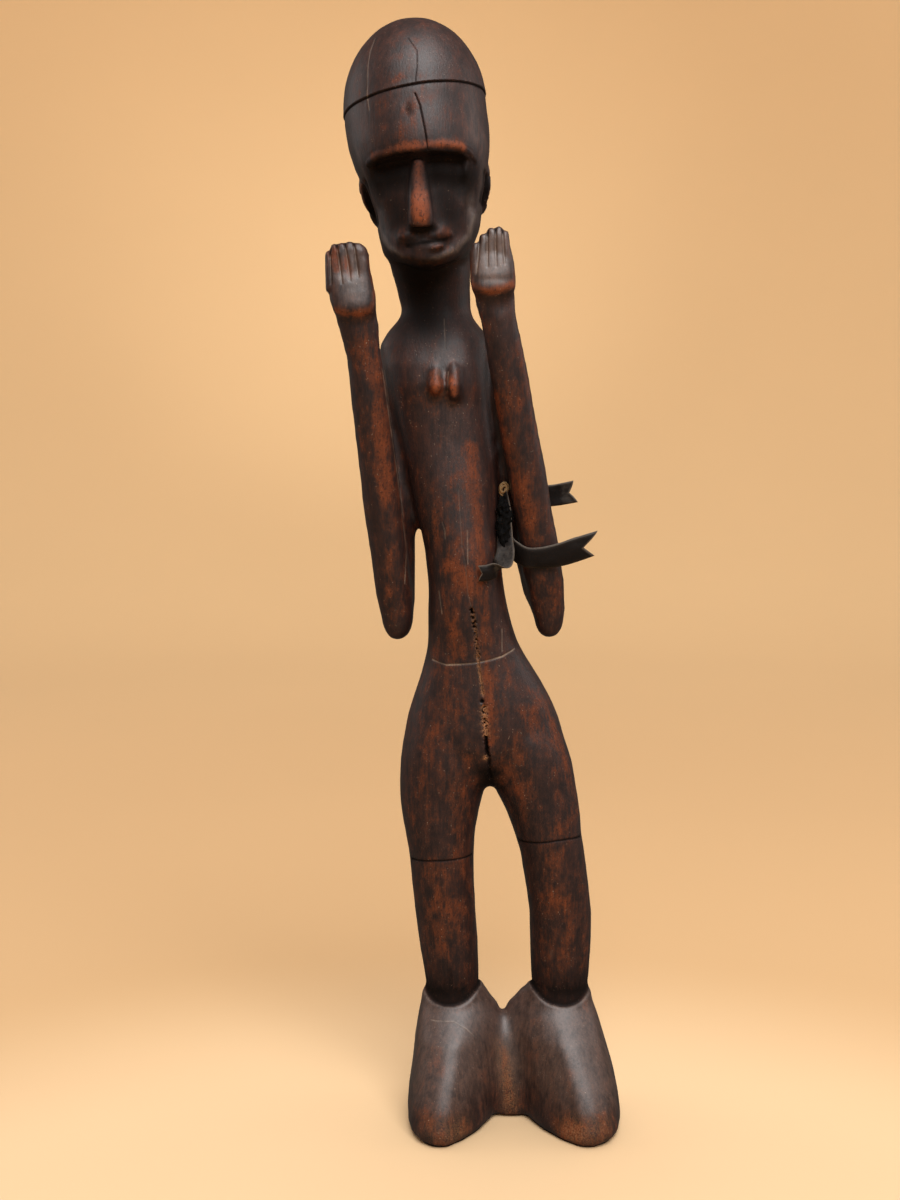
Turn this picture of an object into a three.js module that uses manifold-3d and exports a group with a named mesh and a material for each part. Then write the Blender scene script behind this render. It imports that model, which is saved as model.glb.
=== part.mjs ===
// A standing figure carved from one curved log, about 0.9 m tall, with two hide straps on its arm.
// Millimetres, +Z up. The figure faces -Y, and the viewer's right is +X. The origin is the middle
// of the whole object's bounding box, on the ground.
import * as THREE from "three";
import { mergeVertices } from "three/addons/utils/BufferGeometryUtils.js";
import Module from "manifold-3d";

const wasm = await Module();
wasm.setup();

// Driving levels, from the ground up
const HEIGHT = 899;
const ANKLE = 98;
const KNEE = 224;
const CROTCH = 282;
const HIP = 302;
const WAIST = 391;
const ELBOW = 401;
const SHOULDER = 645;
const NECK_BASE = 668;
const TEMPLE = 829;

// The figure is drawn from its own plumb line, then moved so that the box is centred
const PLUMB_TO_CENTRE = new THREE.Vector3(-6.3, 9.05, 0);

// Fineness of the surface: corners round a section
const TORSO_SIDES = 24;
const HEAD_SIDES = 28;
const ARM_SIDES = 12;
const LEG_SIDES = 16;
const FOOT_SIDES = 18;

const woodMaterial = new THREE.MeshStandardMaterial({ color: 0x3a1f14, roughness: 0.45, metalness: 0 });
const hideMaterial = new THREE.MeshStandardMaterial({ color: 0x2a2725, roughness: 0.6, metalness: 0 });

// A station is one level of a carved form: z, the middle x and y, half the width w, and how far
// the form reaches to the front and the back. square is 2 for an ellipse and more for a boxier
// section, toe pushes the front sideways, and dip lets the front hang below the level. flank takes
// the place of square in the front quarter on the side of its sign.
const STATION_KEYS = ["z", "x", "y", "w", "front", "back", "square", "toe", "dip", "flank"];

function station(z, x, y, w, front, back = front, square = 2, toe = 0, dip = 0, flank = 0) {
  return { z, x, y, w, front, back, square, toe, dip, flank };
}

// Smooth value between stations: a cubic through each, with slopes that never overshoot
function between(stations, key, z) {
  const last = stations.length - 1;
  let i = 0;
  while (i < last - 1 && z > stations[i + 1].z) i += 1;
  const slope = (a, b) => (stations[b][key] - stations[a][key]) / (stations[b].z - stations[a].z);
  const tangent = (k) => {
    if (k === 0) return slope(0, 1);
    if (k === last) return slope(last - 1, last);
    const below = slope(k - 1, k);
    const above = slope(k, k + 1);
    return below * above <= 0 ? 0 : (2 * below * above) / (below + above);
  };
  const step = stations[i + 1].z - stations[i].z;
  const t = (z - stations[i].z) / step;
  const start = stations[i][key];
  const end = stations[i + 1][key];
  return (
    start * (2 * t ** 3 - 3 * t ** 2 + 1) +
    end * (3 * t ** 2 - 2 * t ** 3) +
    tangent(i) * step * (t ** 3 - 2 * t ** 2 + t) +
    tangent(i + 1) * step * (t ** 3 - t ** 2)
  );
}

function sectionAt(stations, z) {
  const section = Object.fromEntries(STATION_KEYS.map((key) => [key, between(stations, key, z)]));
  section.z = z;
  return section;
}

// A rounded end: the end section shrunk along a quarter of an ellipse, rise above or below it
function domeSections(section, rise, rings) {
  return Array.from({ length: rings }, (_, k) => {
    const turn = ((k + 1) / (rings + 1)) * (Math.PI / 2);
    const shrink = Math.cos(turn);
    return {
      ...section,
      z: section.z + rise * Math.sin(turn),
      w: section.w * shrink,
      front: section.front * shrink,
      back: section.back * shrink,
    };
  });
}

function sectionPoint(section, angle) {
  const c = Math.cos(angle);
  const s = Math.sin(angle);
  const onFlank = s < 0 && c * section.flank > 0;
  const power = 2 / (onFlank ? Math.abs(section.flank) : section.square);
  const across = Math.sign(c) * Math.abs(c) ** power;
  const along = Math.sign(s) * Math.abs(s) ** power;
  const reach = along > 0 ? section.back : section.front;
  const forward = along < 0 ? along * along : 0;
  return [
    section.x + section.w * across + section.toe * forward,
    section.y + reach * along,
    section.z - section.dip * forward,
  ];
}

// Turns points and triangles into a solid
function toSolid(points, triangles) {
  const mesh = new wasm.Mesh({
    numProp: 3,
    vertProperties: new Float32Array(points.flat()),
    triVerts: new Uint32Array(triangles.flat()),
  });
  return new wasm.Manifold(mesh);
}

// A form carved from a stack of level sections, one at each station and more where two stations
// are further apart than the gap. Each end is closed, rounded or flat
function carve(stations, { sides, gap, topRise = 0, bottomRise = 0, topRings = 2, bottomRings = 2 }) {
  const body = [stations[0]];
  for (let k = 1; k < stations.length; k += 1) {
    const from = stations[k - 1].z;
    const to = stations[k].z;
    const steps = Math.ceil((to - from) / gap);
    for (let i = 1; i <= steps; i += 1) body.push(sectionAt(stations, from + ((to - from) * i) / steps));
  }
  const final = body[body.length - 1];
  const top = topRise ? domeSections(final, topRise, topRings) : [];
  const bottom = bottomRise ? domeSections(body[0], -bottomRise, bottomRings).reverse() : [];
  const sections = [...bottom, ...body, ...top];
  const points = sections.flatMap((section) =>
    Array.from({ length: sides }, (_, k) => sectionPoint(section, (2 * Math.PI * k) / sides)),
  );
  const triangles = [];
  for (let ring = 0; ring < sections.length - 1; ring += 1) {
    for (let k = 0; k < sides; k += 1) {
      const next = (k + 1) % sides;
      const a = ring * sides + k;
      const b = ring * sides + next;
      triangles.push([a, b, b + sides], [a, b + sides, a + sides]);
    }
  }
  const first = body[0];
  const lowPole = points.push([first.x, first.y, first.z - bottomRise - first.dip / 2]) - 1;
  const highPole = points.push([final.x, final.y, final.z + topRise]) - 1;
  const topRing = (sections.length - 1) * sides;
  for (let k = 0; k < sides; k += 1) {
    const next = (k + 1) % sides;
    triangles.push([lowPole, next, k], [highPole, topRing + k, topRing + next]);
  }
  return toSolid(points, triangles);
}

// A three.js geometry as a solid, stretched, turned and put in place
function placed(geometry, { position, scale = [1, 1, 1], turn = [0, 0, 0] }) {
  const bare = geometry.clone();
  bare.deleteAttribute("normal");
  bare.deleteAttribute("uv");
  const merged = mergeVertices(bare);
  merged.scale(...scale);
  merged.applyMatrix4(new THREE.Matrix4().makeRotationFromEuler(new THREE.Euler(...turn)));
  merged.translate(...position);
  const mesh = new wasm.Mesh({
    numProp: 3,
    vertProperties: new Float32Array(merged.attributes.position.array),
    triVerts: new Uint32Array(merged.index.array),
  });
  return new wasm.Manifold(mesh);
}

// Torso: pelvis, waist, long belly, chest and shoulders, leaning with the log
function torso() {
  const stations = [
    station(CROTCH + 2, 15.5, 5, 14, 17, 20),
    station(CROTCH + 9, 14.6, 6, 36, 27.5, 31),
    station(HIP, 12.8, 6, 54, 34.5, 39, 2.1),
    station(317, 11.8, 6, 65, 40, 45, 2.2),
    station(332, 10.8, 6, 65.6, 41.4, 45.2, 2.2),
    station(353, 9.7, 5, 58.4, 40, 43, 2.2),
    station(370, 7.6, 4, 50.6, 38, 38, 2.2),
    station(WAIST, 4.4, 3, 41, 36, 31, 2.2),
    station(404, 1.7, 2, 36.9, 36, 29, 2.2),
    station(429, -2.1, 0, 33.1, 37, 26, 2.3),
    station(454, -4.2, -1, 31, 38, 24, 2.3),
    station(479, -6.7, -2, 30.9, 37, 24, 2.3),
    station(505, -10.8, -2, 33, 35, 26, 2.3),
    station(536, -14.1, -1, 36.5, 34, 28, 2.3),
    station(567, -18.8, 0, 38.2, 33, 29, 2.3),
    station(596, -24, 0, 40.5, 34, 31, 2.3),
    station(612, -26.3, 0, 42, 37, 31, 2.3),
    station(628, -28, 1, 44, 36, 31, 2.4),
    station(SHOULDER, -28.6, 2, 45, 32, 30, 2.4),
    station(656, -28.5, 3, 38.8, 29, 28, 2.3),
    station(664, -28.2, 4, 31.8, 28, 27, 2.2),
    station(NECK_BASE + 2, -27.8, 4, 28, 26.5, 26, 2.2),
  ];
  const ends = { topRise: 1, bottomRise: 2, topRings: 1, bottomRings: 1 };
  return carve(stations, { sides: TORSO_SIDES, gap: 22, ...ends });
}

function neck() {
  const stations = [
    station(NECK_BASE - 8, -27.6, 4, 27, 25.5, 26),
    station(NECK_BASE + 4, -28, 4, 28.2, 26, 26),
    station(689, -30.2, 3, 29.8, 26, 26),
    station(705, -32.6, 1, 32.2, 28, 26),
    station(721, -34.6, -1, 34.8, 30, 26),
    station(736, -35.2, -2, 35, 30, 22),
  ];
  return carve(stations, { sides: LEG_SIDES, gap: 20 });
}

// Head: a tall egg that is fullest at the temples and tapers to the jaw
const HEAD = [
  station(714, -35.6, -8, 35, 47, 26, 2.1, 0, 8),
  station(724, -35, -8, 38.6, 50.5, 30, 2.1, 0, 8),
  station(737, -34.2, -7, 42.4, 52.5, 35, 2.1, 0, 6),
  station(751, -34.9, -6, 45, 54.5, 41, 2.1, 0, 4),
  station(767, -37.2, -5, 49.2, 57.5, 49, 2.15, 0, 2),
  station(782, -39.8, -4, 54, 60.5, 55, 2.15),
  station(798, -41.5, -3, 57.4, 62.5, 60, 2.1),
  station(814, -43, -3, 58.8, 61.5, 62),
  station(TEMPLE, -44.6, -3, 57.9, 59, 62.5),
];
const HAIR_STEP = 1.2;

function skull(inset) {
  const stations = HEAD.map((s) => ({
    ...s,
    w: s.w - inset,
    front: s.front - inset,
    back: s.back - inset,
  }));
  const topRise = HEIGHT - TEMPLE - inset;
  return carve(stations, { sides: HEAD_SIDES, gap: 17, topRise, bottomRise: 6, topRings: 6 });
}

// The hair stands a step above the forehead, over a line that climbs to one side
const HAIRLINE = { middle: [-44, -3, 832], climb: 0.166, dropBack: 0.06 };

function aboveHairline() {
  const size = 260;
  const block = new THREE.BoxGeometry(size, size, size).translate(0, 0, size / 2);
  return placed(block, { position: HAIRLINE.middle, turn: [-HAIRLINE.dropBack, -HAIRLINE.climb, 0] });
}

// The face lies in a shallow hollow, deepest below the brow and fading out towards the jaw
function faceHollow() {
  const outline = [
    station(706, -35, -90, 9, 10, 60, 5),
    station(716, -35.4, -90, 20.5, 10, 60, 5),
    station(726, -35.2, -90, 27.5, 10, 60, 5),
    station(741, -35.6, -90, 32.5, 10, 60, 5),
    station(762, -39.4, -90, 36, 10, 60, 5),
    station(784.5, -41.6, -90, 36, 10, 60, 5),
  ];
  const floor = [
    station(696, -36, -8, 33, 46, 30),
    station(712, -36, -8, 36, 46.6, 30),
    station(726, -35.2, -8, 40, 48, 30),
    station(745, -35.2, -7, 46, 47.8, 30),
    station(765, -37.6, -5, 53.5, 48, 30),
    station(790, -41, -4, 58, 53, 30),
  ];
  const column = carve(outline, { sides: 14, gap: 30 });
  return column.subtract(carve(floor, { sides: 20, gap: 26 }));
}

function nose() {
  const stations = [
    station(731.5, -37.4, -48, 8.6, 15, 8, 2.4),
    station(735.5, -37.6, -48, 9, 18.5, 8, 2.4),
    station(745, -38.8, -48, 8.2, 17.6, 8, 2.2),
    station(762, -40.8, -48, 6.8, 12.5, 8, 2.3),
    station(779, -42.8, -48, 5.6, 5.5, 8, 2.3),
  ];
  return carve(stations, { sides: 12, gap: 18 });
}

// The mouth: a wide upper lip in two lobes, and a smaller lower lip
function lips() {
  const roll = new THREE.SphereGeometry(1, 10, 6);
  const turn = [0, -0.13, 0];
  return [
    placed(roll, { position: [-46.5, -50.5, 724.5], scale: [12.6, 5.6, 5.2], turn }),
    placed(roll, { position: [-28.5, -50.5, 727], scale: [12.6, 5.6, 5.2], turn }),
    placed(roll, { position: [-35.5, -51.5, 715.5], scale: [14, 5.6, 4.4], turn }),
  ];
}

// An ear is a thin shell, open to the front
function ear(side) {
  const middle = side < 0 ? [-81.5, 4, 756.5] : [9, 4, 769.5];
  const lean = side < 0 ? -0.4 : -0.06;
  const turn = [0.1, lean, side * 0.35];
  const shell = placed(new THREE.SphereGeometry(1, 10, 8), { position: middle, scale: [5, 11, 20], turn });
  const bowl = new THREE.SphereGeometry(1, 8, 6);
  const position = [middle[0] + side * 2.6, middle[1] - 4.5, middle[2]];
  return shell.subtract(placed(bowl, { position, scale: [3.4, 8.5, 15], turn }));
}

// Breasts: two small pointed nubs, close together, under the slope of the chest
function nub(x, top, bottom, halfWidth) {
  const stations = [
    station(bottom, x, -34, halfWidth * 0.8, 9.5, 6),
    station(bottom + 6, x, -34, halfWidth, 11, 6),
    station(top - 6, x, -34, halfWidth * 0.9, 7, 6),
    station(top, x, -34, halfWidth * 0.6, 4, 6),
  ];
  return carve(stations, { sides: 10, gap: 8, bottomRise: 3, bottomRings: 1 });
}

const ARM_ENDS = { sides: ARM_SIDES, gap: 33, topRings: 1, bottomRings: 3 };

// Upper arms hang from the shoulders and end in a tapered elbow
function upperArmLeft() {
  const stations = [
    station(422, -59.8, 6, 12.5, 12, 12),
    station(437, -60.6, 6, 14.6, 13, 13.5),
    station(462, -61.4, 6, 15.3, 14, 14.5),
    station(486, -62, 6, 16.2, 14, 15),
    station(508, -61.7, 6, 18, 15, 16),
    station(539, -63, 6, 18.6, 15.5, 16.5),
    station(570, -64.9, 6, 18, 15.5, 17),
    station(601, -67, 5, 17, 16, 18),
    station(630, -61.5, 4, 15, 16, 18),
    station(SHOULDER, -59, 4, 14.6, 15, 17),
  ];
  return carve(stations, { ...ARM_ENDS, topRise: 6, bottomRise: 422 - ELBOW });
}

function upperArmRight() {
  const stations = [
    station(422, 64.8, 6, 11.8, 12, 12),
    station(443, 58.2, 6, 14.6, 13.5, 13.5),
    station(466, 53.2, 6, 14.8, 14, 14.5),
    station(503, 43.4, 6, 15, 15, 15),
    station(537, 36.4, 6, 15, 15.5, 16),
    station(569, 29.4, 6, 14.5, 15.5, 17),
    station(601, 21.2, 5, 14.8, 16, 18),
    station(630, 9, 4, 15, 16, 18),
    station(SHOULDER, 1.6, 4, 14.6, 15, 17),
  ];
  return carve(stations, { ...ARM_ENDS, topRise: 6, bottomRise: 422 - ELBOW - 2 });
}

// Forearms fold back up in front of the upper arms, to the wrists
function forearmLeft() {
  const stations = [
    station(421, -60.6, 0, 13.4, 12, 12),
    station(437, -62.8, -3, 15.2, 13.5, 13),
    station(463, -65.4, -8, 15, 14, 13),
    station(488, -67.9, -12, 15.8, 14.5, 12.5),
    station(516, -71.6, -17, 15.7, 14.5, 12),
    station(545, -74.4, -22, 15.6, 14, 12),
    station(570, -77.1, -26.5, 15.3, 13.5, 12),
    station(594, -79.9, -31.5, 15, 13, 12),
    station(616, -82.3, -36, 14.2, 12, 11.5),
    station(631, -84.1, -39, 13.8, 11, 11),
    station(646, -86.8, -42, 14.6, 10.5, 11),
    station(657, -88.6, -44.5, 16, 10, 10),
    station(668, -90.6, -47, 16.8, 8, 9),
  ];
  return carve(stations, { ...ARM_ENDS, bottomRise: 421 - ELBOW });
}

function forearmRight() {
  const stations = [
    station(421, 65.6, 0, 12.6, 12, 12),
    station(432, 64, -2, 14.6, 13, 12.5),
    station(446, 62, -5, 15.6, 13.5, 13),
    station(463, 58.2, -8, 16.8, 14, 13),
    station(488, 54.7, -12, 16.3, 14.5, 12.5),
    station(516, 49.1, -17, 15.7, 14.5, 12),
    station(545, 44.4, -22, 15.7, 14, 12),
    station(570, 39, -26.5, 15.5, 13.5, 12),
    station(597, 33.9, -31.5, 15.2, 13, 12),
    station(623, 29, -37, 15.2, 12, 11.5),
    station(646, 24.2, -42, 14.4, 11, 11),
    station(661, 21, -44.5, 14.2, 10.5, 10.5),
    station(672, 18.6, -46.5, 15.2, 9, 9.5),
    station(684, 16.8, -48, 16, 7, 8),
  ];
  return carve(stations, { ...ARM_ENDS, bottomRise: 421 - ELBOW - 2 });
}

// A raised hand: a flat palm whose heel stands out over the wrist, and five fingers side by side,
// each given by the levels of its foot and tip, the x of both, and half its width
function palm(stations) {
  return carve(stations, { sides: 12, gap: 10, topRise: 3, bottomRise: 5, topRings: 1 });
}

function finger([bottom, top, foot, tip, halfWidth], y) {
  const reach = 5.6;
  const stations = [
    station(bottom, foot, y, halfWidth, reach, reach),
    station(top - halfWidth, tip, y - 0.5, halfWidth, reach - 0.6, reach - 0.8),
  ];
  return carve(stations, { sides: 8, gap: 40, topRise: halfWidth, topRings: 1 });
}

function handLeft() {
  const heel = [
    station(667, -90.9, -51, 16.4, 10.5, 8, 2.4),
    station(674, -91.8, -51.5, 17.8, 10, 8, 2.5),
    station(684, -93.3, -51.5, 18.2, 8.5, 7.5, 2.6),
    station(694, -94.6, -51.5, 17.6, 7, 6.5, 2.8),
  ];
  const fingers = [
    [686, 710.5, -107.4, -109.4, 4],
    [686, 717.5, -100.8, -103.6, 4.3],
    [686, 719, -93.8, -97, 4.3],
    [686, 719.5, -86.8, -90.2, 4.3],
    [686, 717, -80.4, -84.2, 4],
  ];
  return [palm(heel), ...fingers.map((line) => finger(line, -52))];
}

function handRight() {
  const heel = [
    station(683, 16.2, -53, 17, 10.5, 8, 2.4),
    station(690, 16.2, -53, 17.8, 9.5, 8, 2.5),
    station(698, 15.6, -53, 17.2, 8, 7, 2.6),
    station(706, 15, -53, 16.2, 6.5, 6, 2.8),
  ];
  const fingers = [
    [696, 716, 2, 1.6, 3.6],
    [696, 723, 8.4, 8.2, 4.1],
    [696, 729, 15.2, 14.6, 4.2],
    [696, 730.5, 22, 20.4, 4.1],
    [696, 726, 27.6, 24.8, 3.5],
  ];
  return [palm(heel), ...fingers.map((line) => finger(line, -53.5))];
}

// Legs: full thighs, no calves, and a straight shin that goes down into the foot
function legLeft() {
  const stations = [
    station(ANKLE - 10, -14.2, 4, 22.4, 23, 23),
    station(119, -15.7, 4, 23.4, 24.5, 24),
    station(145, -18.3, 4, 25, 25.5, 25.5),
    station(172, -20.8, 2, 25.8, 26, 27),
    station(198, -22.9, 1, 26.3, 27, 28),
    station(KNEE, -24.2, 1, 27.5, 28.5, 29),
    station(241, -25.4, 2, 29.6, 30.5, 32),
    station(259, -25.4, 4, 33, 33.5, 36),
    station(276, -24, 6, 36, 36.5, 39.5),
    station(HIP, -20.7, 6, 38.4, 38.5, 43),
    station(322, -19.5, 6, 36.5, 38, 43),
    station(340, -17, 6, 32, 35, 40),
  ];
  return carve(stations, { sides: LEG_SIDES, gap: 36, topRise: 10, topRings: 1 });
}

function legRight() {
  const stations = [
    station(ANKLE - 10, 76.6, 4, 23.4, 23, 23),
    station(119, 76.9, 4, 24.8, 24.5, 24),
    station(145, 77.1, 4, 26, 25.5, 25.5),
    station(172, 76.5, 2, 26.3, 26, 27),
    station(198, 73.3, 1, 26.7, 27, 28),
    station(KNEE, 69.3, 1, 27.1, 28.5, 29),
    station(241, 65.4, 2, 28.4, 30.5, 32),
    station(259, 61.4, 4, 31.4, 33.5, 36),
    station(276, 55.6, 6, 34.4, 36.5, 39.5),
    station(HIP, 49.6, 6, 36.2, 38.5, 43),
    station(322, 44.5, 6, 34, 38, 43),
    station(340, 38, 6, 29, 35, 40),
  ];
  return carve(stations, { sides: LEG_SIDES, gap: 36, topRise: 10, topRings: 1 });
}

// Feet: heavy hoof-like blocks without toes, splayed a little, on flat soles. Their inner flanks
// slope back to the web
function footLeft() {
  const stations = [
    station(0, -15.5, -14, 35.6, 62.5, 47, 2.15, -6, 0, 1.4),
    station(3, -15.3, -14, 36.8, 64, 49, 2.15, -7, 0, 1.4),
    station(10, -15, -14, 37.8, 64.5, 50, 2.2, -8, 0, 1.4),
    station(25, -13.8, -13, 38, 60.5, 49, 2.2, -8, 0, 1.35),
    station(45, -12, -11, 37.2, 51, 46, 2.2, -6, 0, 1.3),
    station(71, -9.9, -6, 36.2, 39, 38, 2.2, -3, 0, 1.3),
    station(86, -9.8, -2, 33.6, 28, 31, 2.1, -2, 0, 1.6),
    station(ANKLE, -11.6, 2, 28.6, 21, 24, 2, 0, 0, 2),
    station(106, -13.4, 4, 24.6, 20, 21, 2, 0, 0, 2),
  ];
  return carve(stations, { sides: FOOT_SIDES, gap: 27, topRise: 4, topRings: 1 });
}

function footRight() {
  const stations = [
    station(0, 85, -14, 38.6, 62.5, 47, 2.15, 6, 0, -1.4),
    station(3, 85.2, -14, 40, 64, 49, 2.15, 7, 0, -1.4),
    station(10, 85.4, -14, 40.6, 64.5, 50, 2.2, 8, 0, -1.4),
    station(25, 84, -13, 40.6, 60.5, 49, 2.2, 8, 0, -1.35),
    station(45, 80.3, -11, 40, 51, 46, 2.2, 6, 0, -1.3),
    station(71, 74.1, -6, 38.6, 39, 38, 2.2, 3, 0, -1.3),
    station(86, 72.8, -2, 34.9, 28, 31, 2.1, 2, 0, -1.6),
    station(ANKLE, 74.2, 2, 29.2, 21, 24, 2, 0, 0, -2),
    station(106, 75.4, 4, 25.6, 20, 21, 2, 0, 0, -2),
  ];
  return carve(stations, { sides: FOOT_SIDES, gap: 27, topRise: 4, topRings: 1 });
}

// The web of wood left between the feet, clear of the ground
function footBridge() {
  const stations = [
    station(1.5, 34.5, 8, 23, 32, 26, 3),
    station(12, 34, 8, 22, 32, 26, 3),
    station(34, 33, 8, 20, 30, 25, 2.8),
    station(58, 31.5, 8, 18, 26.5, 23, 2.6),
    station(72, 30.5, 9, 15, 21, 20, 2.4),
  ];
  return carve(stations, { sides: 14, gap: 26, topRise: 3, topRings: 1 });
}

function figure() {
  const cap = skull(0).intersect(aboveHairline());
  const face = skull(HAIR_STEP).subtract(faceHollow());
  const pieces = [
    torso(), neck(), face, cap, nose(), ...lips(), ear(-1), ear(1),
    nub(-28, 624, 605, 5), nub(-13.4, 626, 602, 6),
    upperArmLeft(), upperArmRight(), forearmLeft(), forearmRight(), ...handLeft(), ...handRight(),
    legLeft(), legRight(), footLeft(), footRight(), footBridge(),
  ];
  return pieces.reduce((whole, piece) => whole.add(piece));
}

// A strap is a strip of dried hide that follows its points, turned so that its width lies along
// each point's own direction, with both ends cut to a swallowtail
const STRAP_THICKNESS = 1.6;
const STRAP_HALF_WIDTH = 9.2;

function strap(knots, { notchStart, notchEnd, steps }) {
  const path = new THREE.CatmullRomCurve3(knots.map((knot) => new THREE.Vector3(...knot.at)));
  const widths = new THREE.CatmullRomCurve3(knots.map((knot) => new THREE.Vector3(...knot.across)));
  const points = [];
  for (let k = 0; k <= steps; k += 1) {
    const u = k / steps;
    const middle = path.getPoint(u);
    const tangent = path.getTangent(u);
    const across = widths.getPoint(u);
    across.addScaledVector(tangent, -across.dot(tangent)).normalize();
    const normal = tangent.clone().cross(across);
    let notch = 0;
    if (k === 0) notch = notchStart;
    if (k === steps) notch = -notchEnd;
    const share = knots.length - 1;
    const slot = Math.min(Math.floor(u * share), share - 1);
    const half = THREE.MathUtils.lerp(knots[slot].half, knots[slot + 1].half, u * share - slot);
    const corner = (side, face) =>
      middle
        .clone()
        .addScaledVector(across, side * half)
        .addScaledVector(tangent, side === 0 ? notch : 0)
        .addScaledVector(normal, (face * STRAP_THICKNESS) / 2)
        .toArray();
    points.push(corner(-1, 1), corner(0, 1), corner(1, 1), corner(1, -1), corner(0, -1), corner(-1, -1));
  }
  const triangles = [];
  const ring = 6;
  for (let k = 0; k < steps; k += 1) {
    for (let c = 0; c < ring; c += 1) {
      const a = k * ring + c;
      const b = k * ring + ((c + 1) % ring);
      triangles.push([a, b + ring, b], [a, a + ring, b + ring]);
    }
  }
  const caps = [[0, 1, 4], [0, 4, 5], [1, 2, 3], [1, 3, 4]];
  const last = steps * ring;
  caps.forEach(([a, b, c]) => {
    triangles.push([a, b, c], [last + a, last + c, last + b]);
  });
  return toSolid(points, triangles);
}

function knot(x, y, z, across, half = STRAP_HALF_WIDTH) {
  return { at: [x, y, z], across, half };
}

// One strap hooks round the arm from the gap beside the body, and both of its ends stand out
function armStrap() {
  const knots = [
    knot(100.5, -23.5, 485.2, [0.12, 0, 1], 9.4),
    knot(85, -26.4, 480.6, [0.06, -0.1, 1], 10),
    knot(70.5, -27.2, 476.2, [0.03, -0.16, 1], 9.6),
    knot(57, -27, 474, [0, -0.16, 1], 8.8),
    knot(45, -25, 474.2, [-0.05, -0.1, 1], 8.3),
    knot(36.2, -17, 478.5, [-0.12, 0, 1], 8.6),
    knot(31, -8, 487, [-0.14, 0, 1], 8.8),
    knot(27.2, 0, 496.5, [-0.14, 0, 1], 8.8),
    knot(24.4, 8.5, 506, [-0.13, 0, 1], 8.8),
    knot(26, 19, 513, [-0.1, 0, 1], 8.8),
    knot(36, 23.6, 517.5, [0, 0, 1], 9),
    knot(47, 23, 520, [0, 0, 1], 9),
    knot(60, 20, 521.8, [0, 0.05, 1], 9),
    knot(73, 16, 523.4, [-0.3, 0.1, 1], 9),
    knot(85.5, 12, 527, [-0.85, 0.2, 0.6], 9.6),
  ];
  return strap(knots, { notchStart: 10, notchEnd: 5, steps: 26 });
}

// The other is knotted in the gap and comes forward, folded, in front of the belly
function tieStrap() {
  const knots = [
    knot(26.8, -17, 528.6, [0.2, -1, 0.1], 2.4),
    knot(28.6, -17.5, 513, [0.2, -1, 0], 4.4),
    knot(29.6, -21.5, 500, [0.35, -0.95, 0], 5.2),
    knot(28.8, -27, 488, [0.8, -0.6, 0], 5.4),
    knot(27.8, -32, 477, [1, -0.25, 0.05], 7.8),
    knot(24, -36, 467.8, [0.9, -0.1, 0.5], 8.2),
    knot(15.4, -39.6, 463.2, [0.15, -0.1, 1], 6.8),
    knot(6, -41.8, 462.6, [-0.05, -0.1, 1], 6.4),
  ];
  const strip = strap(knots, { notchStart: 0, notchEnd: 4.5, steps: 16 });
  const ring = new THREE.TorusGeometry(3.3, 1.7, 5, 9);
  const coil = placed(ring, { position: [26.4, -14.5, 529.6], turn: [0.5, 0.25, 0.3] });
  return strip.add(coil);
}

// A solid as a named three.js mesh, measured from the middle of the whole object
function toMesh(solid, name, material) {
  const { vertProperties, triVerts } = solid.getMesh();
  const geometry = new THREE.BufferGeometry();
  geometry.setAttribute("position", new THREE.BufferAttribute(vertProperties, 3));
  geometry.setIndex(new THREE.BufferAttribute(triVerts, 1));
  geometry.translate(...PLUMB_TO_CENTRE);
  geometry.computeVertexNormals();
  const mesh = new THREE.Mesh(geometry, material);
  mesh.name = name;
  return mesh;
}

const object = new THREE.Group();
object.add(
  toMesh(figure(), "figure", woodMaterial),
  toMesh(armStrap(), "arm_strap", hideMaterial),
  toMesh(tieStrap(), "tie_strap", hideMaterial),
);

export default object;
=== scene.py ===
"""The looks of a carved wooden standing figure with two hide straps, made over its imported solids.

Lengths in the tables of this file are millimetres in the model's frame: the origin is on the ground
under the middle of the figure, +Z is up, the figure faces -Y and the viewer's right is +X.
"""

import math

import bmesh
import bpy
import numpy as np
from bpy.props import FloatProperty, FloatVectorProperty, IntProperty, PointerProperty
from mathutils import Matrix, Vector, noise


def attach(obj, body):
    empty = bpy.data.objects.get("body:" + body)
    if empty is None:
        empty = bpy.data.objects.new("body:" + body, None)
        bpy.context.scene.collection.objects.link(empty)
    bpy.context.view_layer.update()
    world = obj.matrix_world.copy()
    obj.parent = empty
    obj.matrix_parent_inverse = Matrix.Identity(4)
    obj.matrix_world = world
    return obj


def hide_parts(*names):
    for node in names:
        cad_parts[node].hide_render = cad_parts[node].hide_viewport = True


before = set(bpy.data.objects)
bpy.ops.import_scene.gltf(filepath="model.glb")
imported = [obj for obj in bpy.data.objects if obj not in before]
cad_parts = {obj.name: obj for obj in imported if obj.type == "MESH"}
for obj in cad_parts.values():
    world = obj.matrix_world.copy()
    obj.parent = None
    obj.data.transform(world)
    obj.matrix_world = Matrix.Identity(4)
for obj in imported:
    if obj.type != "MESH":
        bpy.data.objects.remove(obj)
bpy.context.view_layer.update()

bl_info = {
    "name": "Carved figure",
    "version": (1, 0, 0),
    "blender": (4, 5, 0),
    "location": "3D View > Sidebar > Figure",
    "description": "Carves and finishes a wooden figure and its hide straps over the packed solids",
    "category": "Object",
}

MM = 0.001


# Sizes and colours that a user would change


def length(name, description, default):
    """A length in metres as a property."""
    return FloatProperty(
        name=name, description=description, default=default, min=0.0, precision=5, unit="LENGTH"
    )


def count(name, description, default):
    """A whole number as a property."""
    return IntProperty(name=name, description=description, default=default, min=1)


def colour(name, description, default):
    """A linear colour as a property."""
    return FloatVectorProperty(
        name=name, description=description, default=default, min=0.0, max=1.0, size=3, subtype="COLOR"
    )


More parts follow.
